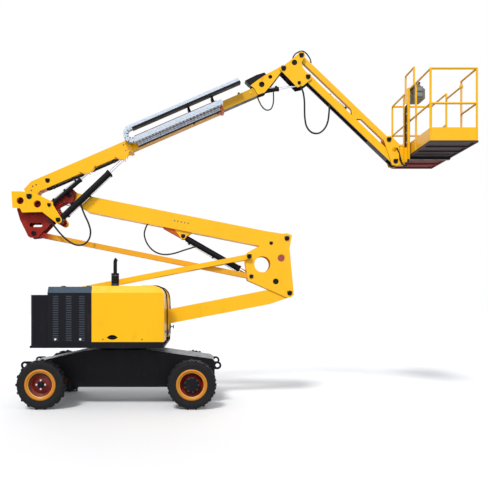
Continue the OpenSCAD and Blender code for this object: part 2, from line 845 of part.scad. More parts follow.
module console() {
    x0 = deck_x + 2 * rail_r;
    z0 = floor_z + rail_h;
    color([0.25, 0.26, 0.2]) placed() {
        translate([0, 150, 0]) rotate([90, 0, 0]) linear_extrude(300) polygon([
            [x0, z0 - 230], [x0 + 190, z0 - 230], [x0 + 190, z0 - 70], [x0 + 60, z0 + 30], [x0, z0 + 30]
        ]);
        for (y = [-70, 0, 70]) post(x0 + 120, y, 12, z0 - 60, z0 + 50);
    }
}

module entry_bar() {
    x1 = deck_x + deck_len - rail_r;
    z = floor_z + rail_h - rail_r - 90;
    color([1, 0.76, 0.02]) placed() difference() {
        union() {
            rail(x1, -360, x1, 190, z);
            post(x1, -360, rail_r + 12, z - 20, z + 20);
        }
        post(x1, -360, rail_r + fit, z - 30, z + 30);
    }
}

// Cylinders: each runs from its foot pin along its own line.

module barrel(p, q, y, r, foot_r, bore, start, end, foot_y, rod_r) {
    deg = atan2(q[1] - p[1], q[0] - p[0]);
    translate([0, y, 0]) along(p, deg) difference() {
        union() {
            translate([start, 0, 0]) rotate([0, 90, 0]) cylinder(r = r, h = end - start);
            translate([end - 40, 0, 0]) rotate([0, 90, 0]) cylinder(r = r + 6, h = 40);
            pin([0, 0], foot_r, -foot_y, foot_y);
            block(0, start, -foot_y, foot_y, -foot_r * 0.8, foot_r * 0.8);
        }
        translate([start + 12, 0, 0]) rotate([0, 90, 0]) cylinder(r = rod_r + 6, h = end - start - 42);
        translate([start, 0, 0]) rotate([0, 90, 0]) cylinder(r = rod_r + fit, h = end);
        pin([0, 0], bore + fit, -big, big);
    }
}

module rod(p, q, y, r, start, eye_r0, eye_y, bore) {
    deg = atan2(q[1] - p[1], q[0] - p[0]);
    len = norm(q - p);
    translate([0, y, 0]) along(p, deg) difference() {
        union() {
            translate([start, 0, 0]) rotate([0, 90, 0]) cylinder(r = r, h = len - start - eye_r0 / 2);
            pin([len, 0], eye_r0, -eye_y, eye_y);
        }
        pin([len, 0], bore, -big, big);
    }
}

lift_eye = on_boom(lift_x, lift_z);
master_eye = on_boom(master_x, master_z);

module riser_barrel() {
    color([0.06, 0.06, 0.07]) placed()
        barrel(riser_foot, riser_eye, 0, 52, 46, pin_r, 70, 1130, 40, 32);
}
module riser_rod() { color([0.8, 0.8, 0.82]) placed() rod(riser_foot, riser_eye, 0, 32, 240, 44, 36, 20); }
module lift_barrel() {
    color([0.06, 0.06, 0.07]) placed()
        barrel(pin_h, lift_eye, cyl_y, 54, 50, pin_r, 78, 1190, 40, 26);
}
module lift_rod() { color([0.8, 0.8, 0.82]) placed() rod(pin_h, lift_eye, cyl_y, 26, 330, 38, 34, 18); }
module master_barrel() {
    color([0.06, 0.06, 0.07]) placed()
        barrel(pin_j, master_eye, cyl_y, 36, 38, 24, 50, 690, 30, 18);
}
module master_rod() { color([0.8, 0.8, 0.82]) placed() rod(pin_j, master_eye, cyl_y, 18, 180, 30, 26, 14); }
module slave_barrel() {
    color([0.06, 0.06, 0.07]) placed()
        barrel(slave_foot, slave_eye, 0, 34, 30, 20, 40, 500, 24, 18);
}
module slave_rod() { color([0.8, 0.8, 0.82]) placed() rod(slave_foot, slave_eye, 0, 18, 360, 32, 24, 12); }
module jib_barrel() {
    color([0.06, 0.06, 0.07]) placed()
        barrel(knee_low, jib_eye, 0, 38, 46, pin_r, 60, 860, 38, 22);
}
module jib_rod() { color([0.8, 0.8, 0.82]) placed() rod(knee_low, jib_eye, 0, 22, 240, 30, 20, 14); }

chassis();
steps();
axles();
knuckle_near();
knuckle_far();
tyre_steer_near();
tyre_steer_far();
tyre_drive_near();
tyre_drive_far();
rim_steer_near();
rim_steer_far();
rim_drive_near();
rim_drive_far();
deck();
tower();
counterweight();
hood_near();
hood_far();
cover_near();
cover_far();
front_panel();
exhaust();
engine();
lower_arm();
lower_link();
mid_upright();
upper_arm();
upper_link();
top_upright();
boom_base();
boom_mid();
chain_tray();
drag_chain();
boom_fly();
jib_knuckle();
jib_arm();
jib_link();
jib_head();
platform_mount();
platform_rails();
platform_floor();
console();
entry_bar();
riser_barrel();
riser_rod();
lift_barrel();
lift_rod();
master_barrel();
master_rod();
slave_barrel();
slave_rod();
jib_barrel();
jib_rod();
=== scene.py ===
# %% [markdown]
# # A self-propelled boom lift, dressed for the camera
#
# The CAD model gives every part its place and its motion. This script loads it as a
# fixed frame, paints each part and adds what a CAD model leaves out: hoses, links,
# slats, bolts and seals. Every new piece but the hoses is named to a body, so that it
# moves with it.

import json
from math import atan2, cos, hypot, pi, radians, sin

import bmesh
import bpy
from mathutils import Matrix, Vector


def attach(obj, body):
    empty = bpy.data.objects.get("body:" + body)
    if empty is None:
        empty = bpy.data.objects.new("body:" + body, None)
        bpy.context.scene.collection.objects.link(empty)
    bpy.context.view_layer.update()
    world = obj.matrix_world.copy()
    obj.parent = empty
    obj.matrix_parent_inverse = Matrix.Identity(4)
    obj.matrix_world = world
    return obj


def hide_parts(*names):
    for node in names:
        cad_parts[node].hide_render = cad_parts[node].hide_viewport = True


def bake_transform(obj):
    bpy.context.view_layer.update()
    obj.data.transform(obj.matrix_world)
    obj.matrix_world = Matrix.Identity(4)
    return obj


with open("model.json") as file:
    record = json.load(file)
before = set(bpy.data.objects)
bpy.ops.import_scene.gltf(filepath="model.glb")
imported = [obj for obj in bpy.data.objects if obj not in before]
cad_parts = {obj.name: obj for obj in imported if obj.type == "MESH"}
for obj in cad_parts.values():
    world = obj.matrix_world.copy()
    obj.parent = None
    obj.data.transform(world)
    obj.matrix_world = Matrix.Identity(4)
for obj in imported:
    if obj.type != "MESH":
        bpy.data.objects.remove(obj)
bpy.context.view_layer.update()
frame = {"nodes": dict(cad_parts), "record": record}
nodes = frame["nodes"]

# %% [markdown]
# ## Places
#
# The machine was drawn about its slewing axis. One small helper turns a place given
# in millimetres from that axis into Blender's metres, so that the numbers below can
# be compared with the drawing.

# %% Places on the machine
BOOM = radians(23.4)
FOOT_PIN = (-1562.4, 3467.4)
MIDDLE = (FOOT_PIN[0] - 300 + 4935 + 765) / 2


def place(x, y, z):
    """Millimetres from the slewing axis to metres in the model's frame."""
    return Vector(((x - MIDDLE) / 1000, y / 1000, z / 1000))


def on_boom(along, y, up):
    """A place measured along the boom from its foot pin, and square to it."""
    return place(
        FOOT_PIN[0] + along * cos(BOOM) - up * sin(BOOM),
        y,
        FOOT_PIN[1] + along * sin(BOOM) + up * cos(BOOM),
    )


print("slewing axis stands", round(-MIDDLE / 1000, 3), "m from the frame's middle")

# %% [markdown]
# ## The camera
#
# The photograph was taken from standing eye height, about ten metres away, with the
# camera held level and the picture cut out off centre. A level camera with a lens
# shift repeats that: upright edges stay upright.

# %% Camera
camera_data = bpy.data.cameras.new("camera")
camera_data.lens = 43.0
camera_data.sensor_width = 36
camera_data.shift_x = 0.0922
camera_data.shift_y = 0.1168
camera_data.clip_end = 200
camera = bpy.data.objects.new("camera", camera_data)
bpy.context.collection.objects.link(camera)
camera.location = (1.3 - MIDDLE / 1000, -10.1, 1.705)
camera.rotation_euler = (pi / 2, 0, 0)
bpy.context.scene.camera = camera

# %% [markdown]
# ## Hoses
#
# Hydraulic hoses cross every joint in a loose loop, because they are a fixed length
# and the joint opens and closes. Each hose here is a curve through a few points, made
# smooth by a Catmull-Rom spline and given the hose's thickness as its bevel. The table
# names the two bodies that it joins, but the hose is not handed to either.


# %% Smooth paths
def smooth(points, steps=4):
    """A Catmull-Rom curve through the points."""
    p = [2 * points[0] - points[1], *points, 2 * points[-1] - points[-2]]
    out = []
    for a, b, c, d in zip(p, p[1:], p[2:], p[3:]):
        for i in range(steps):
            t = i / steps
            out.append(
                0.5
                * (
                    2 * b
                    + (c - a) * t
                    + (2 * a - 5 * b + 4 * c - d) * t * t
                    + (3 * b - a - 3 * c + d) * t**3
                )
            )
    return out + [points[-1]]


def path_length(points):
    return sum((b - a).length for a, b in zip(points, points[1:]))


def tube(name, points, diameter):
    """A round tube through the points, turned from a bevelled curve into a mesh."""
    curve = bpy.data.curves.new(name, "CURVE")
    curve.dimensions = "3D"
    curve.bevel_depth = diameter / 2
    curve.bevel_resolution = 4
    curve.use_fill_caps = True
    spline = curve.splines.new("POLY")
    spline.points.add(len(points) - 1)
    for q, v in zip(spline.points, points):
        q.co = (*v, 1)
    line = bpy.data.objects.new(name, curve)
    bpy.context.collection.objects.link(line)
    graph = bpy.context.evaluated_depsgraph_get()
    mesh = bpy.data.meshes.new_from_object(line.evaluated_get(graph))
    bpy.data.objects.remove(line)
    for face in mesh.polygons:
        face.use_smooth = len(face.vertices) == 4
    mesh.name = name
    return mesh


# %% Hoses across the joints
HOSES = {
    "hose_top_upright": dict(
        y=(-249, -243, -243, -243, -232, -199),
        d=0.030,
        route=[
            (-1301, 3198), (-1237, 3096), (-1148, 2974), (-1041, 2841), (-913, 2722),
            (-776, 2653), (-647, 2664), (-559, 2754), (-535, 2884), (-572, 3024),
            (-634, 3155), (-687, 3287), (-705, 3372),
        ],
        bodies=("top_upright", "lift_barrel"),
    ),
    "hose_master": dict(
        y=(-136, -139, -139, -139, -165),
        d=0.014,
        route=[
            (-1045, 3402), (-1000, 3362), (-940, 3338), (-885, 3360), (-845, 3412),
            (-832, 3475), (-850, 3545), (-893, 3588), (-930, 3594),
        ],
        bodies=("top_upright", "master_barrel"),
    ),
    "hose_upper_arm": dict(
        y=(-96, -44),
        d=0.026,
        route=[
            (430, 3050), (385, 2960), (360, 2850), (395, 2720), (480, 2600), (600, 2525),
            (740, 2505), (890, 2530), (1040, 2580), (1170, 2620), (1262, 2648),
        ],
        bodies=("upper_arm", "riser_barrel"),
    ),
    "hose_neck": dict(
        y=(-60, -20),
        d=0.022,
        route=[
            (2296, 5248), (2330, 5160), (2385, 5060), (2460, 5000), (2540, 5020),
            (2580, 5110), (2588, 5220), (2586, 5332),
        ],
        bodies=("boom_fly", "slave_barrel"),
    ),
    "hose_jib": dict(
        y=(-100, -66),
        d=0.030,
        route=[
            (3040, 5400), (3085, 5290), (3108, 5150), (3112, 5000), (3118, 4850),
            (3150, 4700), (3240, 4600), (3360, 4590), (3460, 4670), (3515, 4790),
            (3535, 4930), (3545, 5060), (3550, 5112),
        ],
        bodies=("jib_knuckle", "jib_arm"),
    ),
    "hose_knee": dict(
        y=(-30, -30),
        d=0.022,
        route=[
            (2916, 5858), (2926, 5915), (2958, 5966), (3005, 6000), (3055, 6018), (3105, 6016),
            (3150, 5985), (3190, 5935), (3222, 5880), (3236, 5815),
        ],
        bodies=("jib_knuckle", "jib_link"),
    ),
    "hose_platform": dict(
        y=(-112, -30),
        d=0.024,
        route=[
            (4690, 4330), (4730, 4250), (4762, 4150), (4800, 4060), (4860, 4030),
            (4900, 4090), (4908, 4180), (4908, 4260),
        ],
        bodies=("jib_head", "platform"),
    ),
}



def spread(values, t):
    """The value at t, from 0 to 1, between values that are spaced evenly."""
    at = t * (len(values) - 1)
    i = min(int(at), len(values) - 2)
    return values[i] + (values[i + 1] - values[i]) * (at - i)


hoses = []
for name, h in HOSES.items():
    last = len(h["route"]) - 1
    points = smooth([place(x, spread(h["y"], i / last), z) for i, (x, z) in enumerate(h["route"])])
    hose = bpy.data.objects.new(name, tube(name, points, h["d"]))
    bpy.context.collection.objects.link(hose)
    tuple(points[2])
    tuple(points[-3])
    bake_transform(hose)
    tuple(points[0])
    path_length(points)
    [tuple(q) for q in points]
    hoses.append(hose)
    print(name, round(path_length(points), 3), "m")

# %% [markdown]
# ## Shader maths
#
# A procedural finish is arithmetic on textures. The small class below wraps a
# shader socket, so that the arithmetic can be written as ordinary Python.


# %% Sockets as numbers
class Sock:
    """A shader socket that can be added, multiplied and compared."""

    def __init__(self, tree, socket):
        self.tree, self.socket = tree, socket

    def maths(self, operation, *values):
        return self.tree.node("ShaderNodeMath", {"operation": operation}, self, *values)

    def __add__(self, v):
        return self.maths("ADD", v)

    def __mul__(self, v):
        return self.maths("MULTIPLY", v)

    def __sub__(self, v):
        return self.maths("SUBTRACT", v)

    def __rsub__(self, v):
        return self * -1 + v

    def __truediv__(self, v):
        return self.maths("DIVIDE", v)

    def __pow__(self, v):
        return self.maths("POWER", v)

    __radd__, __rmul__ = __add__, __mul__

    def above(self, low, high):
        """0 below low, 1 above high, smooth between."""
        return self.tree.node(
            "ShaderNodeMapRange",
            {"interpolation_type": "SMOOTHSTEP"},
            self,
            low,
            high,
            0.0,
            1.0,
        )


class Paint:
    """One material and the nodes that are added to it."""

    def __init__(self, name, colour, roughness=0.5, metallic=0.0, **shader):
        self.material = bpy.data.materials.new(name)
        self.material.use_nodes = True
        self.nodes = self.material.node_tree.nodes
        self.links = self.material.node_tree.links
        self.shader = self.nodes["Principled BSDF"]
        self.material.diffuse_color = (*colour, 1)
        self.set("Base Color", (*colour, 1))
        self.set("Roughness", roughness)
        self.set("Metallic", metallic)
        for socket, value in shader.items():
            self.set(socket.replace("_", " "), value)

    def put(self, socket, value):
        if isinstance(value, Sock):
            self.links.new(value.socket, socket)
        else:
            socket.default_value = value

    def set(self, name, value):
        self.put(self.shader.inputs[name], value)

    def node(self, kind, settings, *values, out=0, **named):
        node = self.nodes.new(kind)
        for key, value in settings.items():
            if key == "stops":
                ramp = node.color_ramp
                while len(ramp.elements) < len(value):
                    ramp.elements.new(0.5)
                for stop, (at, colour) in zip(ramp.elements, value):
                    stop.position, stop.color = at, (*colour, 1)
            else:
                setattr(node, key, value)
        for socket, value in zip(node.inputs, values):
            if value is not None:
                self.put(socket, value)
        for key, value in named.items():
            self.put(node.inputs[key.replace("_", " ")], value)
        return Sock(self, node.outputs[out])

    def place(self):
        return self.node("ShaderNodeTexCoord", {}, out="Object")

    def axis(self, letter):
        return self.node("ShaderNodeSeparateXYZ", {}, self.place(), out="XYZ".index(letter))

    def noise(self, scale, detail=3.0, stretch=(1, 1, 1)):
        where = self.node("ShaderNodeMapping", {}, self.place(), Scale=stretch)
        return self.node("ShaderNodeTexNoise", {}, Vector=where, Scale=scale, Detail=detail)

    def mix(self, mask, a, b):
        """Colour a where the mask is 0 and b where it is 1."""
        a = a if isinstance(a, Sock) else (*a, 1)
        b = b if isinstance(b, Sock) else (*b, 1)
        node = self.nodes.new("ShaderNodeMix")
        node.data_type = "RGBA"
        for socket, value in zip((node.inputs[0], node.inputs[6], node.inputs[7]), (mask, a, b)):
            self.put(socket, value)
        return Sock(self, node.outputs[2])

    def bump(self, height, strength=0.2, distance=0.002):
        self.set("Normal", self.node("ShaderNodeBump", {}, Height=height, Strength=strength, Distance=distance))

    def edges(self, radius=0.006):
        """1 on corners that are rubbed, from the angle between rounded and true normals."""
        soft = self.node("ShaderNodeBevel", {"samples": 4}, Radius=radius)
        true = self.node("ShaderNodeNewGeometry", {}, out="True Normal")
        dot = self.node("ShaderNodeVectorMath", {"operation": "DOT_PRODUCT"}, soft, true, out="Value")
        return (1 - dot).above(0.02, 0.2)


# %% [markdown]
# ## Paints and finishes
#
# The machine is sprayed in a warm yellow gloss over primed steel, with black and
# grey parts; its dark red and orange are painted shade, the yellow as it looks in shadow.
# Real paint is never one flat colour: dust settles low down, the sprayed film has a
# slight orange peel, and corners are rubbed.


# %% Sprayed paint
def sprayed(name, colour, dust, roughness=0.32, coat=0.25, peel=0.05, shine=0.5):
    p = Paint(name, colour, roughness, Coat_Weight=coat, Coat_Roughness=0.12, Specular_IOR_Level=shine)
    cloud = p.noise(1.6, 4.0)
    grime = p.noise(7.0, 5.0, (1, 1, 0.35))
    low = 1 - p.axis("Z").above(0.3, 2.2)
    shade = p.mix(cloud.above(0.35, 0.75) * 0.35, colour, tuple(c * 0.86 for c in colour))
    shade = p.mix(grime.above(0.52, 0.8) * (low * 0.3 + 0.1), shade, dust)
    rubbed = p.edges() * grime.above(0.45, 0.6)
    p.set("Base Color", p.mix(rubbed * 0.35, shade, tuple(min(1, c * 0.6 + 0.12) for c in colour)))
    p.set("Roughness", grime.above(0.4, 0.8) * 0.2 + roughness)
    p.bump(p.noise(220.0, 2.0), peel, 0.0006)
    return p.material


YELLOW = (0.95, 0.50, 0.002)
finishes = {
    "yellow_paint": sprayed("yellow_paint", YELLOW, (0.55, 0.33, 0.03), 0.38, 0.06, 0.05, 0.2),
    "black_paint": sprayed("black_paint", (0.004, 0.004, 0.007), (0.03, 0.027, 0.024), 0.45, 0.0, 0.05, 0.12),
    "grey_paint": sprayed("grey_paint", (0.52, 0.55, 0.56), (0.3, 0.27, 0.22), 0.42, 0.1),
    # red_paint and orange_paint are painted shade: the yellow darkened to red and orange where it lies in
    # shadow.
    "red_paint": sprayed("red_paint", (0.27, 0.008, 0.003), (0.12, 0.03, 0.02), 0.36, 0.2),
    "orange_paint": sprayed("orange_paint", (0.78, 0.30, 0.01), (0.4, 0.15, 0.03), 0.36, 0.2),
}


# %% Two tones on one part, and painted shade and highlights
def two_tone_and_painted_shade(name, first, second, mask, roughness=0.38, shine=0.2):
    """Paint that changes where the mask, made from a place on the part, goes from 0 to 1; most second colours
    here are painted shade, and on the covers and chassis painted highlights.
    """
    p = Paint(name, first, roughness, Specular_IOR_Level=shine)
    grime = p.noise(7.0, 5.0, (1, 1, 0.35))
    shade = p.mix(mask(p), first, second)
    p.set("Base Color", p.mix(grime.above(0.55, 0.85) * 0.25, shade, (0.1, 0.05, 0.03)))
    p.set("Roughness", grime.above(0.4, 0.8) * 0.2 + roughness)
    return p.material


def facing(p):
    """How far a face looks up, from -1 to 1, on the part as it stands at rest."""
    normal = p.node("ShaderNodeTexCoord", {}, out="Normal")
    return p.node("ShaderNodeSeparateXYZ", {}, normal, out=2)


def facing_up(p):
    return facing(p).above(0.25, 0.6)


def facing_down(p):
    return 1 - facing(p).above(-0.6, -0.3)


RED_SHADE = (0.27, 0.008, 0.003)
two_tones_and_painted_shade = {
    # The inner plates of the top upright are painted dark red: painted shade on the yellow, where they lie in
    # shadow.
    "top_upright": two_tone_and_painted_shade(
        "upright_painted_shade", RED_SHADE, YELLOW, lambda p: p.axis("Y").maths("ABSOLUTE").above(0.2, 0.21)
    ),
    # The upper link is painted red at one end, fading to orange: both are painted shade on a yellow link.
    "upper_link": two_tone_and_painted_shade(
        "link_painted_shade", RED_SHADE, (0.78, 0.36, 0.01), lambda p: p.axis("X").above(-3.28, -2.98)
    ),
    "platform_mount": two_tone_and_painted_shade(
        "mount_tones", YELLOW, (0.006, 0.006, 0.008), lambda p: p.axis("X").above(3.006, 3.012)
    ),
    # The orange at the upper end of the middle boom tube, its collar, is painted shade on the yellow.
    "boom_mid": two_tone_and_painted_shade(
        "collar_painted_shade", YELLOW, (0.72, 0.17, 0.01), lambda p: p.axis("X").above(-0.31, -0.26)
    ),
}
BLACK = (0.004, 0.004, 0.007)
# The chassis's upward faces are painted a lighter grey-green: a painted highlight on the black.
two_tones_and_painted_shade["chassis"] = two_tone_and_painted_shade("chassis_tones", BLACK, (0.07, 0.085, 0.085), facing_up, 0.45, 0.12)



def painted_shade_inside(p, wall):
    """Painted shade: 1 under and within a frame whose side walls stand this far from the middle, 0 on its top.
    """
    within = 1 - p.axis("Y").maths("ABSOLUTE").above(wall, wall + 0.008)
    return facing_down(p).maths("MAXIMUM", within) * (1 - facing_up(p))


# Painted shade: the undersides and inner faces of these open frames are painted near black, where they lie in
# shadow.
for name, wall in (("jib_arm", 0.06), ("jib_knuckle", 0.1), ("boom_fly", 0.07)):
    two_tones_and_painted_shade[name] = two_tone_and_painted_shade(name + "_tones", YELLOW, (0.012, 0.006, 0.008), lambda p: painted_shade_inside(p, wall))
# The upward faces of the black covers are painted blue-grey: a painted reflection of the sky.
two_tones_and_painted_shade["cover_near"] = two_tones_and_painted_shade["cover_far"] = two_tone_and_painted_shade(
    "cover_painted_reflection", (0.006, 0.006, 0.009), (0.045, 0.075, 0.11), facing_up, 0.42, 0.12
)

# %% Rubber, steel and plastic
rubber = Paint("tyre_rubber", (0.006, 0.006, 0.007), 0.7, Specular_IOR_Level=0.2)
dirt = rubber.noise(14.0, 5.0)
rubber.set("Base Color", rubber.mix(dirt.above(0.5, 0.8) * 0.4, (0.006, 0.006, 0.007), (0.035, 0.032, 0.03)))
rubber.set("Roughness", dirt * 0.25 + 0.55)
rubber.bump(rubber.noise(160.0, 3.0), 0.25, 0.001)
finishes["tyre_rubber"] = rubber.material

WHEEL_Z = 0.39
# The rim is painted dark red: painted shade on an orange rim. Random darker patches are mixed in.
rim = Paint("rim_paint", (0.13, 0.008, 0.003), 0.4, Specular_IOR_Level=0.25)
dark_patches = rim.noise(9.0, 4.0)
rim.set("Base Color", rim.mix(dark_patches.above(0.5, 0.8) * 0.6, (0.15, 0.009, 0.004), (0.03, 0.008, 0.006)))
rim.set("Roughness", dark_patches * 0.3 + 0.25)
finishes["rim_paint"] = rim.material

chrome = Paint("rod_chrome", (0.62, 0.62, 0.66), 0.12, 1.0)
film = chrome.noise(30.0, 3.0, (1, 1, 1))
chrome.set("Roughness", film * 0.14 + 0.06)
finishes["rod_chrome"] = chrome.material

steel = Paint("chain_steel", (0.42, 0.48, 0.56), 0.5, 0.35)
streak = steel.noise(60.0, 4.0, (0.2, 1, 1))
steel.set("Base Color", steel.mix(streak.above(0.4, 0.8) * 0.5, (0.46, 0.52, 0.60), (0.22, 0.25, 0.29)))
steel.set("Roughness", streak * 0.3 + 0.35)
finishes["chain_steel"] = steel.material

coating = Paint("floor_coating", (0.055, 0.03, 0.024), 0.7)
grit = coating.noise(120.0, 3.0)
far_half = coating.axis("Y").above(-0.02, 0.12)
tone = coating.mix(far_half, (0.02, 0.008, 0.01), (0.2, 0.012, 0.006))
coating.set("Base Color", coating.mix(grit.above(0.45, 0.7) * 0.35, tone, (0.06, 0.02, 0.018)))
coating.bump(grit, 0.5, 0.002)
finishes["floor_coating"] = coating.material

moulded = Paint("console_plastic", (0.12, 0.125, 0.075), 0.5)
fine = moulded.noise(260.0, 2.0)
moulded.set("Base Color", moulded.mix(fine.above(0.4, 0.6) * 0.3, (0.13, 0.135, 0.08), (0.08, 0.085, 0.055)))
moulded.bump(fine, 0.2, 0.0006)
finishes["console_plastic"] = moulded.material

hose_rubber = Paint("hose_rubber", (0.005, 0.005, 0.006), 0.45, Specular_IOR_Level=0.25)
weave = hose_rubber.noise(300.0, 2.0)
hose_rubber.set("Roughness", weave * 0.3 + 0.35)
hose_rubber.bump(weave, 0.15, 0.0005)

bright = Paint("bright_steel", (0.6, 0.61, 0.62), 0.3, 1.0)
bright.set("Roughness", bright.noise(50.0) * 0.25 + 0.2)

screen = Paint("screen_black", (0.004, 0.005, 0.008), 0.12, Coat_Weight=0.5)
screen.set("Roughness", screen.noise(20.0) * 0.1 + 0.08)

slat_blue = Paint("slat_blue", (0.06, 0.075, 0.1), 0.5)
slat_blue.set("Roughness", slat_blue.noise(40.0) * 0.2 + 0.4)

pane_grey = Paint("pane_grey", (0.16, 0.18, 0.18), 0.3)
pane_grey.set("Roughness", pane_grey.noise(30.0) * 0.2 + 0.2)

white_plastic = Paint("white_plastic", (0.75, 0.76, 0.76), 0.4)
white_plastic.set("Roughness", white_plastic.noise(60.0) * 0.2 + 0.3)

pale_gold = Paint("lip_gold", (0.85, 0.52, 0.12), 0.35)
pale_gold.set("Roughness", pale_gold.noise(12.0) * 0.25 + 0.25)

gold = Paint("ring_gold", (0.55, 0.20, 0.01), 0.4, Specular_IOR_Level=0.3)
gold.set("Roughness", gold.noise(12.0) * 0.25 + 0.25)

# %% Paint every part of the CAD model
slot_of = {s["node"]: s["material_slot"] for s in frame["record"]["subparts"]}
for name, node in nodes.items():
    for i in range(max(1, len(node.material_slots))):
        if node.material_slots:
            node.material_slots[i].material = two_tones_and_painted_shade.get(name, finishes[slot_of[name]])
        else:
            node.data.materials.append(two_tones_and_painted_shade.get(name, finishes[slot_of[name]]))
for hose in hoses:
    hose.data.materials.append(hose_rubber.material)
print("painted", len(nodes), "parts")

# %% [markdown]
# ## Repeated pieces with Geometry Nodes
#
# Links, slats and bolts repeat by a rule: a row, a ring or a path. Each rule
# is one node tree with named inputs. The finished mesh is taken from the evaluated
# object and the modifier is dropped, because the export needs plain meshes.


# %% A small builder for node trees
class Rule:
    """A Geometry Nodes tree with named inputs."""

    def __init__(self, name, **inputs):
        self.tree = bpy.data.node_groups.new(name, "GeometryNodeTree")
        kinds = {int: "NodeSocketInt", float: "NodeSocketFloat", tuple: "NodeSocketVector"}
        face = self.tree.interface
        face.new_socket("Geometry", in_out="INPUT", socket_type="NodeSocketGeometry")
        for key, value in inputs.items():
            face.new_socket(key, in_out="INPUT", socket_type=kinds[type(value)])
        face.new_socket("Finish", in_out="INPUT", socket_type="NodeSocketMaterial")
        face.new_socket("Geometry", in_out="OUTPUT", socket_type="NodeSocketGeometry")
        self.defaults = inputs
        self.given = self.tree.nodes.new("NodeGroupInput")

    def __getitem__(self, key):
        return self.given.outputs[key]

    def node(self, kind, settings=None, out=0, **values):
        n = self.tree.nodes.new(kind)
        for key, value in (settings or {}).items():
            setattr(n, key, value)
        for key, value in values.items():
            key = key.replace("_", " ")
            socket = n.inputs[int(key[1:])] if key[0] == "n" and key[1:].isdigit() else n.inputs[key]
            if isinstance(value, bpy.types.NodeSocket):
                self.tree.links.new(value, socket)
            else:
                socket.default_value = value
        return n.outputs[out]

    def maths(self, operation, a, b):
        return self.node("ShaderNodeMath", {"operation": operation}, n0=a, n1=b)

    def vector(self, x, y, z):
        return self.node("ShaderNodeCombineXYZ", X=x, Y=y, Z=z)

    def join(self, *parts):
        n = self.tree.nodes.new("GeometryNodeJoinGeometry")
        for part in reversed(parts):
            self.tree.links.new(part, n.inputs[0])
        return n.outputs[0]

    def end(self, instances):
        real = self.node("GeometryNodeRealizeInstances", Geometry=instances)
        done = self.node("GeometryNodeSetMaterial", Geometry=real, Material=self["Finish"])
        out = self.tree.nodes.new("NodeGroupOutput")
        self.tree.links.new(done, out.inputs[0])
        return self

    def mesh(self, finish, start=None, **values):
        """The plain mesh that the rule makes with these values, from a start mesh."""
        seed = bpy.data.objects.new("seed", start or bpy.data.meshes.new("seed"))
        bpy.context.collection.objects.link(seed)
        modifier = seed.modifiers.new("rule", "NODES")
        modifier.node_group = self.tree
        for item in self.tree.interface.items_tree:
            if item.in_out == "INPUT" and item.name in self.defaults:
                modifier[item.identifier] = values.get(item.name, self.defaults[item.name])
            if item.in_out == "INPUT" and item.name == "Finish":
                modifier[item.identifier] = finish
        graph = bpy.context.evaluated_depsgraph_get()
        result = bpy.data.meshes.new_from_object(seed.evaluated_get(graph))
        seed.modifiers.remove(modifier)
        bpy.data.objects.remove(seed)
        return result


def piece(name, mesh, body, finish=None, turn=None):
    """Names a mesh, puts it in its place and hands it to its body."""
    if turn is not None:
        mesh.transform(turn)
    mesh.name = name
    if finish is not None and not mesh.materials:
        mesh.materials.append(finish)
    made = bpy.data.objects.new(name, mesh)
    bpy.context.collection.objects.link(made)
    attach(made, body)
    return made


def joined(meshes):
    """Several meshes as one, each with its own finish kept."""
    finishes_used = []
    whole = bmesh.new()
    for m in meshes:
        first = len(whole.faces)
        whole.from_mesh(m)
        whole.faces.ensure_lookup_table()
        for f in whole.faces[first:]:
            finish = m.materials[f.material_index] if m.materials else None
            if finish not in finishes_used:
                finishes_used.append(finish)
            f.material_index = finishes_used.index(finish)
    result = bpy.data.meshes.new("joined")
    whole.to_mesh(result)
    whole.free()
    for finish in finishes_used:
        if finish:
            result.materials.append(finish)
    return result


# %% Row, ring and chain rules
row_rule = Rule("row", Count=10, Pitch=(0.0, 0.0, 0.036), Size=(0.06, 0.01, 0.02), Turn=(0.0, 0.0, 0.0))
row_points = row_rule.node("GeometryNodeMeshLine", Count=row_rule["Count"], Offset=row_rule["Pitch"])
row_bar = row_rule.node("GeometryNodeMeshCube", Size=row_rule["Size"])
row_rule.end(
    row_rule.node(
        "GeometryNodeInstanceOnPoints", Points=row_points, Instance=row_bar, Rotation=row_rule["Turn"]
    )
)



def bolt_rule(name, points, **inputs):
    """Bolt heads on washers, at points that another small tree of nodes gives."""
    rule = Rule(name, **inputs, Head=0.012, Height=0.01, Washer=0.018)
    head = rule.node("GeometryNodeMeshCylinder", Vertices=6, Radius=rule["Head"], Depth=rule["Height"])
    lift = rule.vector(0.0, 0.0, rule.maths("MULTIPLY", rule["Height"], 0.75))
    head = rule.node("GeometryNodeTransform", Geometry=head, Translation=lift)
    thin = rule.maths("MULTIPLY", rule["Height"], 0.5)
    washer = rule.node("GeometryNodeMeshCylinder", Vertices=14, Radius=rule["Washer"], Depth=thin)
    pair = rule.join(head, washer)
    return rule.end(rule.node("GeometryNodeInstanceOnPoints", Points=points(rule), Instance=pair))


ring_rule = bolt_rule(
    "bolt_ring",
    lambda rule: rule.node("GeometryNodeMeshCircle", Vertices=rule["Count"], Radius=rule["Radius"]),
    Count=10,
    Radius=0.3,
)
line_rule = bolt_rule(
    "bolt_line",
    lambda rule: rule.node("GeometryNodeMeshLine", Count=rule["Count"], Offset=rule["Pitch"]),
    Count=2,
    Pitch=(0.05, 0.0, 0.0),
)

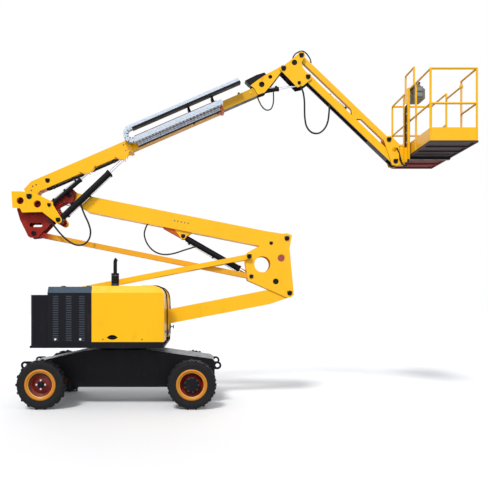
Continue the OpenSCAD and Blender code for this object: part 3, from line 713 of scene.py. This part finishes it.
# The chain's path is a start mesh of edges: links are spaced evenly along it.
chain_rule = Rule("drag_chain", Count=60, Length=0.06, Width=0.09, Height=0.06, Plate=0.006)
chain_path = chain_rule.node("GeometryNodeMeshToCurve", Mesh=chain_rule["Geometry"])
chain_points = chain_rule.node(
    "GeometryNodeCurveToPoints", {"mode": "COUNT"}, Curve=chain_path, Count=chain_rule["Count"]
)
chain_turn = chain_rule.node(
    "FunctionNodeAlignRotationToVector",
    {"axis": "X", "pivot_axis": "Y"},
    Vector=chain_points.node.outputs["Tangent"],
)
half_height = chain_rule.maths("MULTIPLY", chain_rule["Height"], 0.5)
half_width = chain_rule.maths("MULTIPLY", chain_rule["Width"], 0.5)
plate_size = chain_rule.vector(
    chain_rule.maths("MULTIPLY", chain_rule["Length"], 1.12), chain_rule["Plate"], chain_rule["Height"]
)
bar_size = chain_rule.vector(
    chain_rule.maths("MULTIPLY", chain_rule["Length"], 0.42), chain_rule["Width"], chain_rule["Plate"]
)
link_parts = []
for side in (-1, 1):
    plate_y = chain_rule.maths("MULTIPLY", half_width, side)
    bar_z = chain_rule.maths("MULTIPLY", half_height, side * 0.92)
    plate = chain_rule.node("GeometryNodeMeshCube", Size=plate_size)
    bar = chain_rule.node("GeometryNodeMeshCube", Size=bar_size)
    pivot = chain_rule.node(
        "GeometryNodeMeshCylinder",
        Vertices=10,
        Radius=0.011,
        Depth=chain_rule.maths("MULTIPLY", chain_rule["Plate"], 2.2),
    )
    for shape, shift, turn in (
        (plate, chain_rule.vector(0.0, plate_y, 0.0), (0, 0, 0)),
        (bar, chain_rule.vector(0.0, 0.0, bar_z), (0, 0, 0)),
        (pivot, chain_rule.vector(0.0, plate_y, 0.0), (pi / 2, 0, 0)),
    ):
        link_parts.append(
            chain_rule.node("GeometryNodeTransform", Geometry=shape, Translation=shift, Rotation=turn)
        )
chain_rule.end(
    chain_rule.node(
        "GeometryNodeInstanceOnPoints",
        Points=chain_points,
        Instance=chain_rule.join(*link_parts),
        Rotation=chain_turn,
    )
)


def edge_path(points):
    mesh = bpy.data.meshes.new("path")
    mesh.from_pydata([tuple(p) for p in points], [(i, i + 1) for i in range(len(points) - 1)], [])
    return mesh


# %% [markdown]
# ## The drag chain
#
# Hoses and cables reach the platform through a chain of hinged steel links. It lies
# in a black tray along the boom, turns back in a half circle at its lower end and
# runs out again beside the tube. The rule above places every link on that path.

# %% Drag chain
CHAIN_Y = -205
HIGH_RUN, LOW_RUN = 404, 190
LOOP, LOOP_R = 2010, (HIGH_RUN - LOW_RUN) / 2
chain_route = [on_boom(4000 - i * 30, CHAIN_Y, HIGH_RUN) for i in range(67)]
for i in range(17):
    a = pi * i / 16
    chain_route.append(on_boom(LOOP - LOOP_R * sin(a), CHAIN_Y, LOW_RUN + LOOP_R * (1 + cos(a))))
chain_route += [on_boom(LOOP + i * 30, CHAIN_Y, LOW_RUN) for i in range(1, 54)]
links = round(path_length(chain_route) / 0.062)
chain_mesh = chain_rule.mesh(
    steel.material, start=edge_path(chain_route), Count=links, Length=0.056, Width=0.086, Height=0.084
)
drag_chain = piece("drag_chain_links", chain_mesh, "boom_mid")
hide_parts("drag_chain")
print("drag chain:", links, "links")

# %% Pipes, clamps and a strip of painted shade beside the boom
PIPE_Y = -138
BESIDE = [
    # The thin red line 270 mm up is painted shade: a dark red strip where the top edge of the tube lies in
    # shadow.
    (270, 0.014, finishes["red_paint"]),
    (131, 0.03, steel.material),
    (101, 0.03, steel.material),
    (76, 0.02, hose_rubber.material),
]
pipes_and_shade_strip = []
for up, diameter, finish in BESIDE:
    pipe = tube("pipe", [on_boom(along, PIPE_Y, up) for along in (2030, 3000, 3560)], diameter)
    pipe.materials.append(finish)
    pipes_and_shade_strip.append(pipe)
clamp = row_rule.mesh(
    finishes["black_paint"],
    Count=2,
    Pitch=tuple(on_boom(3500, 0, 0) - on_boom(3060, 0, 0)),
    Size=(0.03, 0.058, 0.22),
    Turn=(0, -BOOM, 0),
)
clamp.transform(Matrix.Translation(on_boom(3060, -118, 170)))
piece("boom_pipes_and_painted_shade", joined([*pipes_and_shade_strip, clamp]), "boom_mid")

# %% [markdown]
# ## Wheels
#
# Each rim has a bright gold ring at its flange and a dish inside it, painted dark red
# as painted shade on the orange rim. The driven wheels carry a large dark hub drive with
# a bolted cover, and the steered wheels a small hub with a grease cap. These round
# pieces are turned, as on a lathe.


# %% Lathe
def lathe(profile, centre, side, finish, segments=64):
    """Turns (out, radius) pairs about the wheel's axis; side is -1 near and 1 far."""
    turned = bmesh.new()
    rings = []
    for out, r in profile:
        rings.append(
            [
                turned.verts.new(
                    (
                        centre[0] + r * cos(2 * pi * i / segments),
                        centre[1] + side * out,
                        centre[2] + r * sin(2 * pi * i / segments),
                    )
                )
                for i in range(segments)
            ]
        )
    for a, b in zip(rings, rings[1:]):
        for i in range(segments):
            j = (i + 1) % segments
            turned.faces.new((a[i], a[j], b[j], b[i]))
    if profile[0] != profile[-1]:
        for ring in (rings[0], rings[-1]):
            turned.faces.new(ring)
    else:
        bmesh.ops.remove_doubles(turned, verts=turned.verts, dist=1e-6)
    bmesh.ops.recalc_face_normals(turned, faces=turned.faces)
    for face in turned.faces:
        face.smooth = len(face.verts) == 4
    mesh = bpy.data.meshes.new("turned")
    turned.to_mesh(mesh)
    turned.free()
    mesh.set_sharp_from_angle(angle=radians(50))
    mesh.materials.append(finish)
    return mesh


# %% Rings, hubs and bolts
WHEELS = {
    "wheel_steer_near": (-1186, -1, False),
    "wheel_steer_far": (-1186, 1, False),
    "wheel_drive_near": (1186, -1, True),
    "wheel_drive_far": (1186, 1, True),
}
BAND = [
    (0.082, 0.196), (0.1, 0.204), (0.106, 0.222), (0.104, 0.24), (0.096, 0.246), (0.078, 0.232), (0.082, 0.196),
]
DRIVE_COVER = [
    (0.074, 0.124), (0.086, 0.124), (0.09, 0.118), (0.094, 0.102), (0.103, 0.096), (0.106, 0.04), (0.106, 0.002),
]
LIP = [(0.08, 0.188), (0.092, 0.19), (0.095, 0.195), (0.09, 0.199), (0.08, 0.198), (0.08, 0.188)]
GREASE_CAP = [(0.036, 0.05), (0.074, 0.048), (0.082, 0.042), (0.086, 0.03), (0.086, 0.002)]
for body, (x, side, driven) in WHEELS.items():
    centre = place(x, side * 895, 390)
    rings = [lathe(BAND, centre, side, gold.material), lathe(LIP, centre, side, pale_gold.material)]
    piece(body + "_ring", joined(rings), body)
    if driven:
        cover = lathe(DRIVE_COVER, centre, side, finishes["black_paint"])
        bolts = ring_rule.mesh(screen.material, Count=9, Radius=0.108, Head=0.009, Height=0.012, Washer=0.013)
        out = 0.094
    else:
        cover = lathe(GREASE_CAP, centre, side, finishes["black_paint"], 32)
        bolts = ring_rule.mesh(bright.material, Count=4, Radius=0.068, Head=0.011, Height=0.016, Washer=0.016)
        out = 0.044
    turn = Matrix.Translation(centre + Vector((0, side * out, 0))) @ Matrix.Rotation(-side * pi / 2, 4, "X")
    bolts.transform(turn)
    piece(body + "_hub", joined([cover, bolts]), body)

# %% [markdown]
# ## Panels
#
# Cooling air leaves the engine cover through rows of pressed slats. The CAD model
# cuts the slots, and the slats that lean in each slot are a row rule. The lids are
# held by small bolts, and the hood opens by a black lens-shaped grip.

# %% Slats of the engine covers
for side, name in ((-1, "near"), (1, "far")):
    slats = []
    for column in range(3):
        left = -1067 + 85 + column * 205
        row = row_rule.mesh(
            slat_blue.material,
            Count=20,
            Pitch=(0, 0, 0.036),
            Size=(0.089, 0.003, 0.026),
            Turn=(side * -0.6, 0, 0),
        )
        row.transform(Matrix.Translation(place(left + 42.5, side * 996, 1088)))
        slats.append(row)
    piece("slats_" + name, joined(slats), "turntable")

# %% [markdown]
# ## Pins
#
# Every pin of the linkage ends in a round head, held by a keeper plate with two
# bolts so that it can't creep out. One function makes the pair of heads, one on
# each side, and the table gives their places and bodies.

# %% Places of the pins
LOWER_ARM_FOOT, LOWER_LINK_FOOT = (-390, 1213), (-1084, 1834)
LOWER_ARM_END, UPPER_ARM_FOOT = (2849.4, 1842.7), (2803.4, 2776.7)
UPPER_ARM_END = (-917.4, 3513.4)
LIFT_FOOT = (UPPER_ARM_END[0] - 157, UPPER_ARM_END[1] - 441)
MASTER_FOOT = (UPPER_ARM_END[0] - 309, UPPER_ARM_END[1] - 188)
RISER_FOOT = (UPPER_ARM_FOOT[0] - 1777, UPPER_ARM_FOOT[1] + 43)
RISER_EYE = (LOWER_ARM_END[0] - 519, LOWER_ARM_END[1] + 227)
JIB_NECK, JIB_HEAD_LOW = (2749.3, 5690.6), (4670.4, 4102.6)
KNEE_UP = (JIB_NECK[0] + 306, JIB_NECK[1] + 226)
KNEE_LOW = (JIB_NECK[0] + 419, JIB_NECK[1] - 145)
SLAVE_EYE = (JIB_NECK[0] + 267, JIB_NECK[1] - 248)
JIB_EYE = (KNEE_UP[0] + 929, KNEE_UP[1] - 1045)
BOTH, NEAR = (-1, 1), (-1,)
PINS = [
    ("tower_low", "turntable", LOWER_ARM_FOOT, 215, 36, BOTH),
    ("tower_high", "turntable", LOWER_LINK_FOOT, 215, 36, BOTH),
    ("mid_a", "mid_upright", LOWER_ARM_END, 140, 36, BOTH),
    ("mid_b", "mid_upright", (2155.4, 2463.7), 198, 36, BOTH),
    ("mid_c", "mid_upright", (2194.4, 2126.7), 140, 30, BOTH),
    ("mid_plug", "mid_upright", (2533, 2695), 132, 26, BOTH),
    ("riser_foot", "upper_arm", RISER_FOOT, 82, 32, BOTH),
    ("mid_d", "mid_upright", UPPER_ARM_FOOT, 140, 36, BOTH),
    ("top_e", "top_upright", UPPER_ARM_END, 140, 36, BOTH),
    ("top_f", "top_upright", (-1526.4, 2863.4), 140, 36, BOTH),
    ("top_g", "top_upright", FOOT_PIN, 277, 40, BOTH),
    ("top_h", "top_upright", LIFT_FOOT, 284, 34, NEAR),
    ("top_j", "top_upright", MASTER_FOOT, 284, 26, NEAR),
    ("base_plug", "boom_base", (-1297, 3771), 105, 34, BOTH),
    ("neck", "jib_knuckle", JIB_NECK, 116, 36, BOTH),
    ("knee_up", "jib_knuckle", KNEE_UP, 116, 34, BOTH),
    ("knee_low", "jib_knuckle", KNEE_LOW, 116, 34, BOTH),
    ("slave", "jib_knuckle", SLAVE_EYE, 116, 24, BOTH),
    ("head_low", "jib_head", JIB_HEAD_LOW, 112, 34, BOTH),
    ("head_up", "jib_head", (JIB_HEAD_LOW[0] - 113, JIB_HEAD_LOW[1] + 371), 112, 34, BOTH),
]


def against(where, side):
    """Lays a flat ring or bar, made about the z axis, against a near or far side."""
    return Matrix.Translation(where) @ Matrix.Rotation(-side * pi / 2, 4, "X")


# %% Pin heads with keepers
def pin_head(at, y, radius, side):
    r = radius / 1000
    centre = place(at[0], side * y, at[1])
    head = lathe(
        [(-0.001, r * 1.12), (0.006, r * 1.12), (0.009, r), (0.009, r * 0.3), (0.004, r * 0.26), (0.004, 0.001)],
        centre, side, finishes["black_paint"], 36,
    )
    keeper = row_rule.mesh(
        finishes["black_paint"], Count=1, Pitch=(0, 0, 0), Size=(r * 2.3, 0.006, r * 0.55), Turn=(0, 0, 0)
    )
    keeper_at = centre + Vector((0, side * 0.012, r * 0.72))
    keeper.transform(Matrix.Translation(keeper_at))
    bolts = line_rule.mesh(
        screen.material, Count=2, Pitch=(r * 1.7, 0, 0), Head=r * 0.2, Height=0.008, Washer=r * 0.26
    )
    bolts.transform(against(keeper_at + Vector((-r * 0.85, side * 0.003, 0)), side))
    return [head, keeper, bolts]


for name, body, at, y, radius, sides in PINS:
    heads = [m for side in sides for m in pin_head(at, y, radius, side)]
    piece("pin_" + name, joined(heads), body)

# %% Cross tubes behind the round holes, in colours of painted shade
# The red of mid_high is painted shade on the tube seen through its hole, and the black tubes darken holes that
# lie in shadow: painted shade.
CROSS_TUBES = [
    ("mid_high", "mid_upright", LOWER_ARM_END, (-142, 594), 112, 74, "red_paint"),
    ("mid_low", "mid_upright", LOWER_ARM_END, (-236, 197), 112, 56, "black_paint"),
    ("neck_low", "boom_fly", JIB_NECK, (-372, -266), 70, 54, "black_paint"),
    ("neck_high", "boom_fly", JIB_NECK, (-225, -136), 70, 40, "black_paint"),
    ("knuckle", "jib_knuckle", JIB_NECK, (187, 102), 98.6, 47, "black_paint"),
]
for name, body, pin, shift, half, radius, tone in CROSS_TUBES:
    r = radius / 1000
    profile = [(-half / 1000, 0.001), (-half / 1000, r), (half / 1000, r), (half / 1000, 0.001)]
    centre = place(pin[0] + shift[0], 0, pin[1] + shift[1])
    piece("tube_" + name, lathe(profile, centre, 1, finishes[tone], 40), body)

# %% [markdown]
# ## Bolts
#
# Small bolts hold the wear pads at the mouth of each boom tube, the boom's foot
# plates and the riser's bracket. They are rows laid along a tube.


# %% Bolts in rows
def bolt_row(start, step, count, y, head=8, finish=screen):
    """Bolt heads on a side face, from one place and in equal steps of x and z."""
    side = 1 if y > 0 else -1
    row = line_rule.mesh(
        finish.material,
        Count=count,
        Pitch=(step[0] / 1000, -side * step[1] / 1000, 0),
        Head=head / 1000,
        Height=0.008,
        Washer=head / 700,
    )
    row.transform(against(place(start[0], y, start[1]), side))
    return row


def boom_pair(along, up):
    """The same place as on_boom, as a pair of millimetres."""
    return (
        FOOT_PIN[0] + along * cos(BOOM) - up * sin(BOOM),
        FOOT_PIN[1] + along * sin(BOOM) + up * cos(BOOM),
    )


ALONG_BOOM = (cos(BOOM), sin(BOOM))
BOLT_ROWS = {
    "boom_base": [
        ((1800, 110), 50, 3, 106),
        ((1800, 220), 50, 3, 106),
        ((90, 185), 66, 2, 106),
        ((40, 130), 60, 1, 106),
    ],
    "boom_mid": [((3500, 105), 50, 3, 91), ((3500, 215), 50, 3, 91)],
}
for body, rows in BOLT_ROWS.items():
    heads = []
    for at, step, count, y in rows:
        for side in BOTH:
            shift = (ALONG_BOOM[0] * step, ALONG_BOOM[1] * step)
            heads.append(bolt_row(boom_pair(*at), shift, count, side * y))
    piece("bolts_" + body, joined(heads), body)
riser_bolts = bolt_row((880, 3085), (58, -11.5), 5, -110)
piece("bolts_riser_bracket", riser_bolts, "upper_arm")


# %% Gussets of the riser's bracket
def plate(outline, y0, y1, finish):
    """A flat plate cut to an outline of x and z, between two widths."""
    cut = bmesh.new()
    near = [cut.verts.new(place(x, y0, z)) for x, z in outline]
    far = [cut.verts.new(place(x, y1, z)) for x, z in outline]
    cut.faces.new(near)
    cut.faces.new(far)
    for i, j in zip(range(len(outline)), [*range(1, len(outline)), 0]):
        cut.faces.new((near[i], near[j], far[j], far[i]))
    bmesh.ops.recalc_face_normals(cut, faces=cut.faces)
    mesh = bpy.data.meshes.new("plate")
    cut.to_mesh(mesh)
    cut.free()
    mesh.materials.append(finish)
    return mesh


GUSSET = [(640, 3020), (1165, 2910), (1075, 2786), (1026, 2774), (985, 2790), (690, 2955)]
NECK_BRACKET = [(2093, 5500), (2290, 5598), (2425, 5640), (2460, 5605), (2200, 5410), (2150, 5440)]
neck_bracket = plate(NECK_BRACKET, -66, 66, finishes["black_paint"])
piece("neck_bracket", neck_bracket, "boom_fly")
gusset_tone = Paint("gusset_tone", (0.55, 0.09, 0.006), 0.4, Specular_IOR_Level=0.2)
gusset_tone.set("Roughness", gusset_tone.noise(9.0) * 0.2 + 0.3)
gussets = [plate(GUSSET, side * 70, side * 81, gusset_tone.material) for side in BOTH]
piece("gussets", joined(gussets), "upper_arm")

# %% Pipes under the base tube
under = []
for y, diameter in ((-66, 0.016), (-30, 0.026), (10, 0.026)):
    pipe = tube(
        "under", smooth([on_boom(300, y, 58), on_boom(360, y, 40), on_boom(1000, y, 40), on_boom(1560, y, 40),
                         on_boom(1620, y, 58)], 5), diameter,
    )
    pipe.materials.append(hose_rubber.material)
    under.append(pipe)
saddles = row_rule.mesh(
    finishes["black_paint"], Count=4, Pitch=tuple(on_boom(380, 0, 0) - on_boom(0, 0, 0)),
    Size=(0.024, 0.13, 0.034), Turn=(0, -BOOM, 0),
)
saddles.transform(Matrix.Translation(on_boom(400, -28, 44)))
piece("under_pipes", joined([*under, saddles]), "boom_base")

# %% [markdown]
# ## Hard lines
#
# Oil reaches each cylinder's rod end by a thin steel line that runs along the
# barrel, from a port at the foot to a port at the head.


# %% Lines along the cylinders
LIFT_EYE, MASTER_EYE, SLAVE_FOOT = boom_pair(1727, -30), boom_pair(1082, -5), boom_pair(4166, 181)
LINES = [
    ("lift_barrel", LIFT_FOOT, LIFT_EYE, -195, 54, (170, 1160), -1),
    ("master_barrel", MASTER_FOOT, MASTER_EYE, -195, 36, (110, 600), 1),
    ("riser_barrel", RISER_FOOT, RISER_EYE, 0, 52, (150, 1100), -1),
    ("jib_barrel", KNEE_LOW, JIB_EYE, 0, 38, (130, 830), 1),
    ("slave_barrel", SLAVE_FOOT, SLAVE_EYE, 0, 34, (150, 460), 1),
]
for body, foot, eye, y, radius, (start, end), hand in LINES:
    reach = hypot(eye[0] - foot[0], eye[1] - foot[1])
    ahead = ((eye[0] - foot[0]) / reach, (eye[1] - foot[1]) / reach)

    def beside(s, off):
        return place(
            foot[0] + s * ahead[0] - hand * off * ahead[1], y, foot[1] + s * ahead[1] + hand * off * ahead[0]
        )

    clear = radius + 13
    line = tube(
        "line",
        smooth([beside(start, radius - 4), beside(start + 6, clear - 4), beside(start + 40, clear),
                beside(end - 40, clear), beside(end - 6, clear - 4), beside(end, radius - 4)], 5),
        0.012,
    )
    line.materials.append(bright.material)
    tilt = -atan2(ahead[1], ahead[0])
    ports = []
    for s in (start, (start + end) / 2, end):
        port = row_rule.mesh(
            finishes["black_paint"], Count=1, Pitch=(0, 0, 0), Size=(0.034, 0.03, 0.034), Turn=(0, tilt, 0)
        )
        port.transform(Matrix.Translation(beside(s, radius + 6)))
        ports.append(port)
    piece("line_" + body, joined([line, *ports]), body)

# %% [markdown]
# ## The platform's controls
#
# The operator's box carries three joysticks in rubber boots, a row of switches and a
# red stop button on its sloping face, and dark covers on its side. Hoses run down
# between the two posts of the mast, held by clips.


# %% Turned pieces that stand up
def upright(profile, where, finish, lean=0.0, segments=28):
    """Turns (height, radius) pairs about an upright axis that may lean towards x."""
    mesh = lathe(profile, Vector((0, 0, 0)), 1, finish, segments)
    mesh.transform(Matrix.Translation(where) @ Matrix.Rotation(lean, 4, "Y") @ Matrix.Rotation(pi / 2, 4, "X"))
    return mesh


# %% Joysticks, switches and screens
DECK_X, RAIL_TOP = 4935, 5391
BOX_X = DECK_X + 34
SLOPE = atan2(100, 130)
BOOT = [
    (0.0, 0.036), (0.007, 0.036), (0.012, 0.027), (0.018, 0.031), (0.023, 0.023),
    (0.029, 0.027), (0.034, 0.018), (0.05, 0.013), (0.05, 0.001),
]
KNOB = [(0.0, 0.011), (0.008, 0.019), (0.024, 0.022), (0.034, 0.015), (0.038, 0.001)]
MUSHROOM = [(0.0, 0.012), (0.014, 0.012), (0.016, 0.024), (0.024, 0.024), (0.03, 0.016), (0.031, 0.001)]
stop_red = Paint("stop_red", (0.55, 0.008, 0.006), 0.35)
stop_red.set("Roughness", stop_red.noise(40.0) * 0.15 + 0.28)
controls = []
for y in (-70, 0, 70):
    controls.append(upright(BOOT, place(BOX_X + 120, y, RAIL_TOP - 20), rubber.material))
    controls.append(upright(KNOB, place(BOX_X + 120, y, RAIL_TOP + 46), screen.material))
controls.append(upright(MUSHROOM, place(BOX_X + 160, 118, RAIL_TOP - 50), stop_red.material, SLOPE))
switches = row_rule.mesh(
    bright.material, Count=7, Pitch=(0, 0.032, 0), Size=(0.007, 0.007, 0.03), Turn=(0, SLOPE - 0.3, 0)
)
switches.transform(Matrix.Translation(place(BOX_X + 170, -126, RAIL_TOP - 46)))
plate = row_rule.mesh(
    screen.material, Count=1, Pitch=(0, 0, 0), Size=(0.035, 0.27, 0.004), Turn=(0, SLOPE, 0)
)
plate.transform(Matrix.Translation(place(BOX_X + 167, -10, RAIL_TOP - 51)))
controls += [switches, plate]
for side in BOTH:
    for low in (-206, -112):
        frame_bar = row_rule.mesh(
            screen.material, Count=1, Pitch=(0, 0, 0), Size=(0.128, 0.012, 0.084), Turn=(0, 0, 0)
        )
        frame_bar.transform(Matrix.Translation(place(BOX_X + 90, side * 155, RAIL_TOP + low + 44)))
        pane = row_rule.mesh(
            pane_grey.material, Count=1, Pitch=(0, 0, 0), Size=(0.1, 0.004, 0.056), Turn=(0, 0, 0)
        )
        pane.transform(Matrix.Translation(place(BOX_X + 90, side * 163, RAIL_TOP + low + 44)))
        controls += [frame_bar, pane]
piece("controls", joined(controls), "platform")

# %% Hoses down the mast
mast_parts = []
for i, y in enumerate((-24, 0, 24)):
    route = [
        (DECK_X + 20, RAIL_TOP - 240), (DECK_X - 20, RAIL_TOP - 262), (DECK_X - 48, RAIL_TOP - 320),
        (DECK_X - 58, 4900), (DECK_X - 58, 4600), (DECK_X - 60, 4420), (DECK_X - 84, 4340), (DECK_X - 130, 4322),
    ]
    line = tube("mast_hose", smooth([place(x, y, z) for x, z in route], 6), 0.021)
    line.materials.append(hose_rubber.material)
    mast_parts.append(line)
clips = row_rule.mesh(
    bright.material, Count=5, Pitch=(0, 0, 0.165), Size=(0.014, 0.082, 0.022), Turn=(0, 0, 0)
)
clips.transform(Matrix.Translation(place(DECK_X - 52, 0, 4440)))
piece("mast_hoses", joined([*mast_parts, clips]), "platform")

# %% [markdown]
# ## Hood and covers
#
# The hood has a grip, a rubber seal along its front and a T-shaped latch on the front
# panel. Two pale bolts hold the foot of each engine cover, and two straps hold the
# muffler.

# %% Seals, latch, grip and straps
TURN_Y, HOOD_Z, FRONT_X, CORNER = 1000, 1943, 754, 175
EXHAUST = (-73, -550)
for side, name in ((-1, "near"), (1, "far")):
    y = side * 450
    seal = [(FRONT_X - CORNER - 220, HOOD_Z + 7), (FRONT_X - CORNER - 60, HOOD_Z + 7)]
    seal += [
        (FRONT_X - CORNER + (CORNER + 12) * sin(a * pi / 16), HOOD_Z - CORNER + (CORNER + 12) * cos(a * pi / 16))
        for a in range(9)
    ]
    seal += [(FRONT_X + 20, 1600), (FRONT_X + 20, 1400), (FRONT_X + 20, 1130)]
    edge = tube("seal", [place(x, y, z) for x, z in seal], 0.02)
    edge.materials.append(rubber.material)
    latch_y = side * 930
    stem = tube("stem", [place(FRONT_X + 12, latch_y, 1221), place(FRONT_X + 62, latch_y, 1221)], 0.018)
    bar = tube("bar", [place(FRONT_X + 62, latch_y, 1186), place(FRONT_X + 62, latch_y, 1256)], 0.02)
    foot = tube("foot", [place(FRONT_X + 13, latch_y, 1221), place(FRONT_X + 22, latch_y, 1221)], 0.056)
    for part in (stem, bar, foot):
        part.materials.append(screen.material)
    grip = row_rule.mesh(
        finishes["black_paint"], Count=1, Pitch=(0, 0, 0), Size=(0.13, 0.01, 0.017), Turn=(0, 0, 0)
    )
    grip.transform(Matrix.Translation(place(-55, side * (TURN_Y - 3), 1133)))
    cover_bolts = bolt_row((-943, 1104), (390, 0), 2, side * TURN_Y, 13, white_plastic)
    hood_bolts = bolt_row((-202, 1107), (611, 0), 2, side * TURN_Y, 7)
    piece(
        "hood_details_" + name,
        joined([edge, stem, bar, foot, grip, cover_bolts, hood_bolts]),
        "turntable",
    )
STRAP = [(0.0, 0.062), (0.0, 0.066), (0.016, 0.066), (0.016, 0.062), (0.0, 0.062)]
straps = [upright(STRAP, place(*EXHAUST, HOOD_Z + up), screen.material, 0.0, 40) for up in (28, 170)]
CAP = [(0.0, 0.001), (0.0, 0.042), (0.012, 0.042), (0.018, 0.034), (0.02, 0.001)]
caps = [upright(CAP, place(x, side * 820, 1929), screen.material) for x in (-856, -458) for side in BOTH]
piece("cover_caps", joined(caps), "turntable")
piece("muffler_straps", joined(straps), "turntable")

# %% [markdown]
# ## Studio
#
# The photograph is a cut-out on white. A pale floor keeps a soft contact shadow and
# the world shows white to the camera, while its light on the machine stays lower so
# that the yellow keeps its depth.

# %% Floor, world and lamps
floor_mesh = bpy.data.meshes.new("floor")
floor_mesh.from_pydata([(-60, -60, 0), (60, -60, 0), (60, 60, 0), (-60, 60, 0)], [], [(0, 1, 2, 3)])
floor = bpy.data.objects.new("floor", floor_mesh)
bpy.context.collection.objects.link(floor)
floor_paint = Paint("floor_pale", (0.86, 0.86, 0.86), 0.9)
looked_at, mirrored, through = (
    floor_paint.node("ShaderNodeLightPath", {}, out=ray)
    for ray in ("Is Camera Ray", "Is Glossy Ray", "Is Transmission Ray")
)
shown = looked_at.maths("MAXIMUM", mirrored).maths("MAXIMUM", through)
floor_paint.set("Base Color", floor_paint.mix(shown, (0.24, 0.22, 0.2), (0.86, 0.86, 0.86)))
floor_mesh.materials.append(floor_paint.material)

world = bpy.data.worlds.new("studio")
world.use_nodes = True
bpy.context.scene.world = world
wn, wl = world.node_tree.nodes, world.node_tree.links
back = wn["Background"]
back.inputs["Color"].default_value = (0.9, 0.93, 1.0, 1)
back.inputs["Strength"].default_value = 0.55
seen = wn.new("ShaderNodeBackground")
seen.inputs["Color"].default_value = (1, 1, 1, 1)
ray = wn.new("ShaderNodeLightPath")
shown = ray.outputs["Is Camera Ray"]
for kind in ("Is Glossy Ray", "Is Transmission Ray"):
    either = wn.new("ShaderNodeMath")
    either.operation = "MAXIMUM"
    wl.new(shown, either.inputs[0])
    wl.new(ray.outputs[kind], either.inputs[1])
    shown = either.outputs[0]
choose = wn.new("ShaderNodeMixShader")
wl.new(shown, choose.inputs[0])
wl.new(back.outputs[0], choose.inputs[1])
wl.new(seen.outputs[0], choose.inputs[2])
wl.new(choose.outputs[0], wn["World Output"].inputs["Surface"])


def sun(name, energy, angle, turn):
    lamp = bpy.data.lights.new(name, "SUN")
    lamp.energy, lamp.angle = energy, radians(angle)
    lamp_object = bpy.data.objects.new(name, lamp)
    bpy.context.collection.objects.link(lamp_object)
    lamp_object.rotation_euler = [radians(a) for a in turn]


sun("key", 2.3, 12, (38, -18, 0))
sun("fill", 0.7, 40, (70, 30, 0))
sun("back", 1.1, 60, (-72, -20, 0))
bpy.context.scene.view_settings.view_transform = "Standard"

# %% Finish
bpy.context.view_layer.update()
